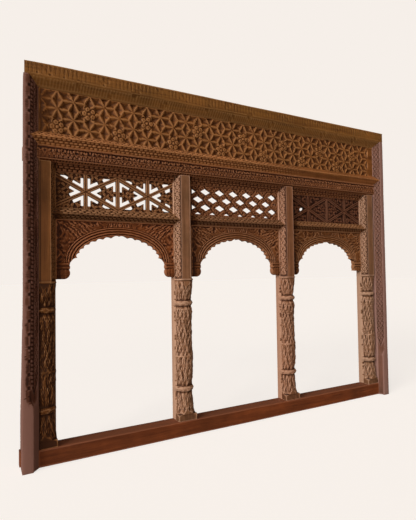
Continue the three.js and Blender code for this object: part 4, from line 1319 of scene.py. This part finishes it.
class WINDOW_OT_beams(bpy.types.Operator):
    """Add the sill and the lintel with their through tenons"""
    bl_idname = "window.beams"
    bl_label = "Sill and lintel"

    def execute(self, context):
        depth = context.scene.window_carving.rail_depth
        settle(sill(), "sill", wear=dusty_top)
        beam = lintel(depth)
        for cx in POST_X:
            room = box((cx - POST_HALF - GAP, FRONT - 1.0, LINTEL_EDGE - 1.0),
                       (cx + POST_HALF + GAP, 1.0, LINTEL_SEAT))
            combine(beam, room, "DIFFERENCE")
        beam = join_solid([beam, tenon_block(-1, 1068.0, 1114.0, -7.0), tenon_block(1, 1068.0, 1114.0, 5.0)],
                          "lintel_beam")
        settle(beam, "lintel", wear=scuffs)
        return {"FINISHED"}


class WINDOW_OT_posts(bpy.types.Operator):
    """Add the four carved posts"""
    bl_idname = "window.posts"
    bl_label = "Posts"

    def execute(self, context):
        depth = context.scene.window_carving.post_depth
        for i, name in enumerate(("jamb_left", "post_left", "post_right", "jamb_right")):
            settle(post(i, depth), name, wear=post_wear)
        return {"FINISHED"}


class WINDOW_OT_transoms(bpy.types.Operator):
    """Add the short nosed rails under the grilles"""
    bl_idname = "window.transoms"
    bl_label = "Transoms"

    def execute(self, context):
        depth = context.scene.window_carving.rail_depth
        for i, name in enumerate(BAYS):
            settle(transom(i, depth), "transom_" + name, wear=bay_dirt)
        return {"FINISHED"}


class WINDOW_OT_arches(bpy.types.Operator):
    """Add the cusped arches"""
    bl_idname = "window.arches"
    bl_label = "Arches"

    def execute(self, context):
        depth = context.scene.window_carving.arch_depth
        for i, name in enumerate(BAYS):
            settle(arch(i, depth), "arch_" + name, wear=bay_dirt)
        return {"FINISHED"}


class WINDOW_OT_grilles(bpy.types.Operator):
    """Add the pierced grilles"""
    bl_idname = "window.grilles"
    bl_label = "Grilles"

    def execute(self, context):
        depth = context.scene.window_carving.grille_depth
        for i, name in enumerate(BAYS):
            settle(grille(i, depth), "grille_" + name, 60.0, grille_dirt)
        return {"FINISHED"}


class WINDOW_OT_stage(bpy.types.Operator):
    """Add the floor, the lights and the camera"""
    bl_idname = "window.stage"
    bl_label = "Stage"

    def execute(self, context):
        room = tuple(context.scene.window_finish.room)
        clear_selection()
        bpy.ops.mesh.primitive_plane_add(size=60, location=(0, 0, (STILE_FOOT - SILL_HALF) / 1000 - 0.0005))
        floor = context.object
        floor.name = "Floor"
        bpy.ops.object.transform_apply(location=True, rotation=False, scale=True)
        paint = bpy.data.materials.new("pale_floor")
        paint.use_nodes = True
        tree = paint.node_tree
        shader = tree.nodes["Principled BSDF"]
        shader.inputs["Base Color"].default_value = tuple(0.42 * c for c in room) + (1.0,)
        shader.inputs["Roughness"].default_value = 1.0
        shader.inputs["Specular IOR Level"].default_value = 0.0
        glow_colour = tuple(c * k for c, k in zip(room, (0.976, 1.0, 1.02)))
        shader.inputs["Emission Color"].default_value = glow_colour + (1.0,)
        seen = node(tree, "ShaderNodeLightPath", -700, 0)
        glow = node(tree, "ShaderNodeMath", -450, 0, operation="MULTIPLY")
        glow.inputs[1].default_value = 0.832
        tree.links.new(seen.outputs["Is Camera Ray"], glow.inputs[0])
        tree.links.new(glow.outputs[0], shader.inputs["Emission Strength"])
        floor.data.materials.append(paint)
        world = bpy.data.worlds.new("Room")
        context.scene.world = world
        world.use_nodes = True
        tree = world.node_tree
        seen = node(tree, "ShaderNodeLightPath", -700, 0)
        around = node(tree, "ShaderNodeMix", -450, 0, data_type="RGBA")
        around.inputs["A"].default_value = (0.11, 0.085, 0.065, 1.0)
        around.inputs["B"].default_value = (*room, 1.0)
        tree.links.new(seen.outputs["Is Camera Ray"], around.inputs["Factor"])
        tree.links.new(around.outputs["Result"], tree.nodes["Background"].inputs["Color"])
        soft_sun("Window light", (-0.88, -0.36, 0.3), 30.0, 2.7, (1.0, 0.98, 0.95))
        soft_sun("Room light", (-0.42, -0.88, 0.12), 80.0, 1.5, (1.0, 0.85, 0.66))
        photo_camera()
        context.scene.view_settings.view_transform = "Standard"
        context.scene.view_settings.look = "None"
        return {"FINISHED"}


PIECE_OPERATORS = (
    WINDOW_OT_stiles, WINDOW_OT_top_rail, WINDOW_OT_star_frieze, WINDOW_OT_ledge, WINDOW_OT_beams,
    WINDOW_OT_posts, WINDOW_OT_transoms, WINDOW_OT_arches, WINDOW_OT_grilles, WINDOW_OT_stage,
)


class WINDOW_PT_panel(bpy.types.Panel):
    bl_idname = "WINDOW_PT_panel"
    bl_label = "Carved window"
    bl_space_type = "VIEW_3D"
    bl_region_type = "UI"
    bl_category = "Window"

    def draw(self, context):
        layout = self.layout
        for group in (context.scene.window_carving, context.scene.window_finish):
            for name in group.__annotations__:
                layout.prop(group, name)
        for operator in PIECE_OPERATORS:
            layout.operator(operator.bl_idname)


CLASSES = (WindowCarving, WindowFinish) + PIECE_OPERATORS + (WINDOW_PT_panel,)


def register():
    for item in CLASSES:
        bpy.utils.register_class(item)
    bpy.types.Scene.window_carving = bpy.props.PointerProperty(type=WindowCarving)
    bpy.types.Scene.window_finish = bpy.props.PointerProperty(type=WindowFinish)


def unregister():
    del bpy.types.Scene.window_finish
    del bpy.types.Scene.window_carving
    for item in reversed(CLASSES):
        bpy.utils.unregister_class(item)


def main():
    register()
    bpy.ops.window.stiles()
    bpy.ops.window.top_rail()
    bpy.ops.window.star_frieze()
    bpy.ops.window.ledge()
    bpy.ops.window.beams()
    bpy.ops.window.posts()
    bpy.ops.window.transoms()
    bpy.ops.window.arches()
    bpy.ops.window.grilles()
    bpy.ops.window.stage()


if __name__ == "__main__":
    main()
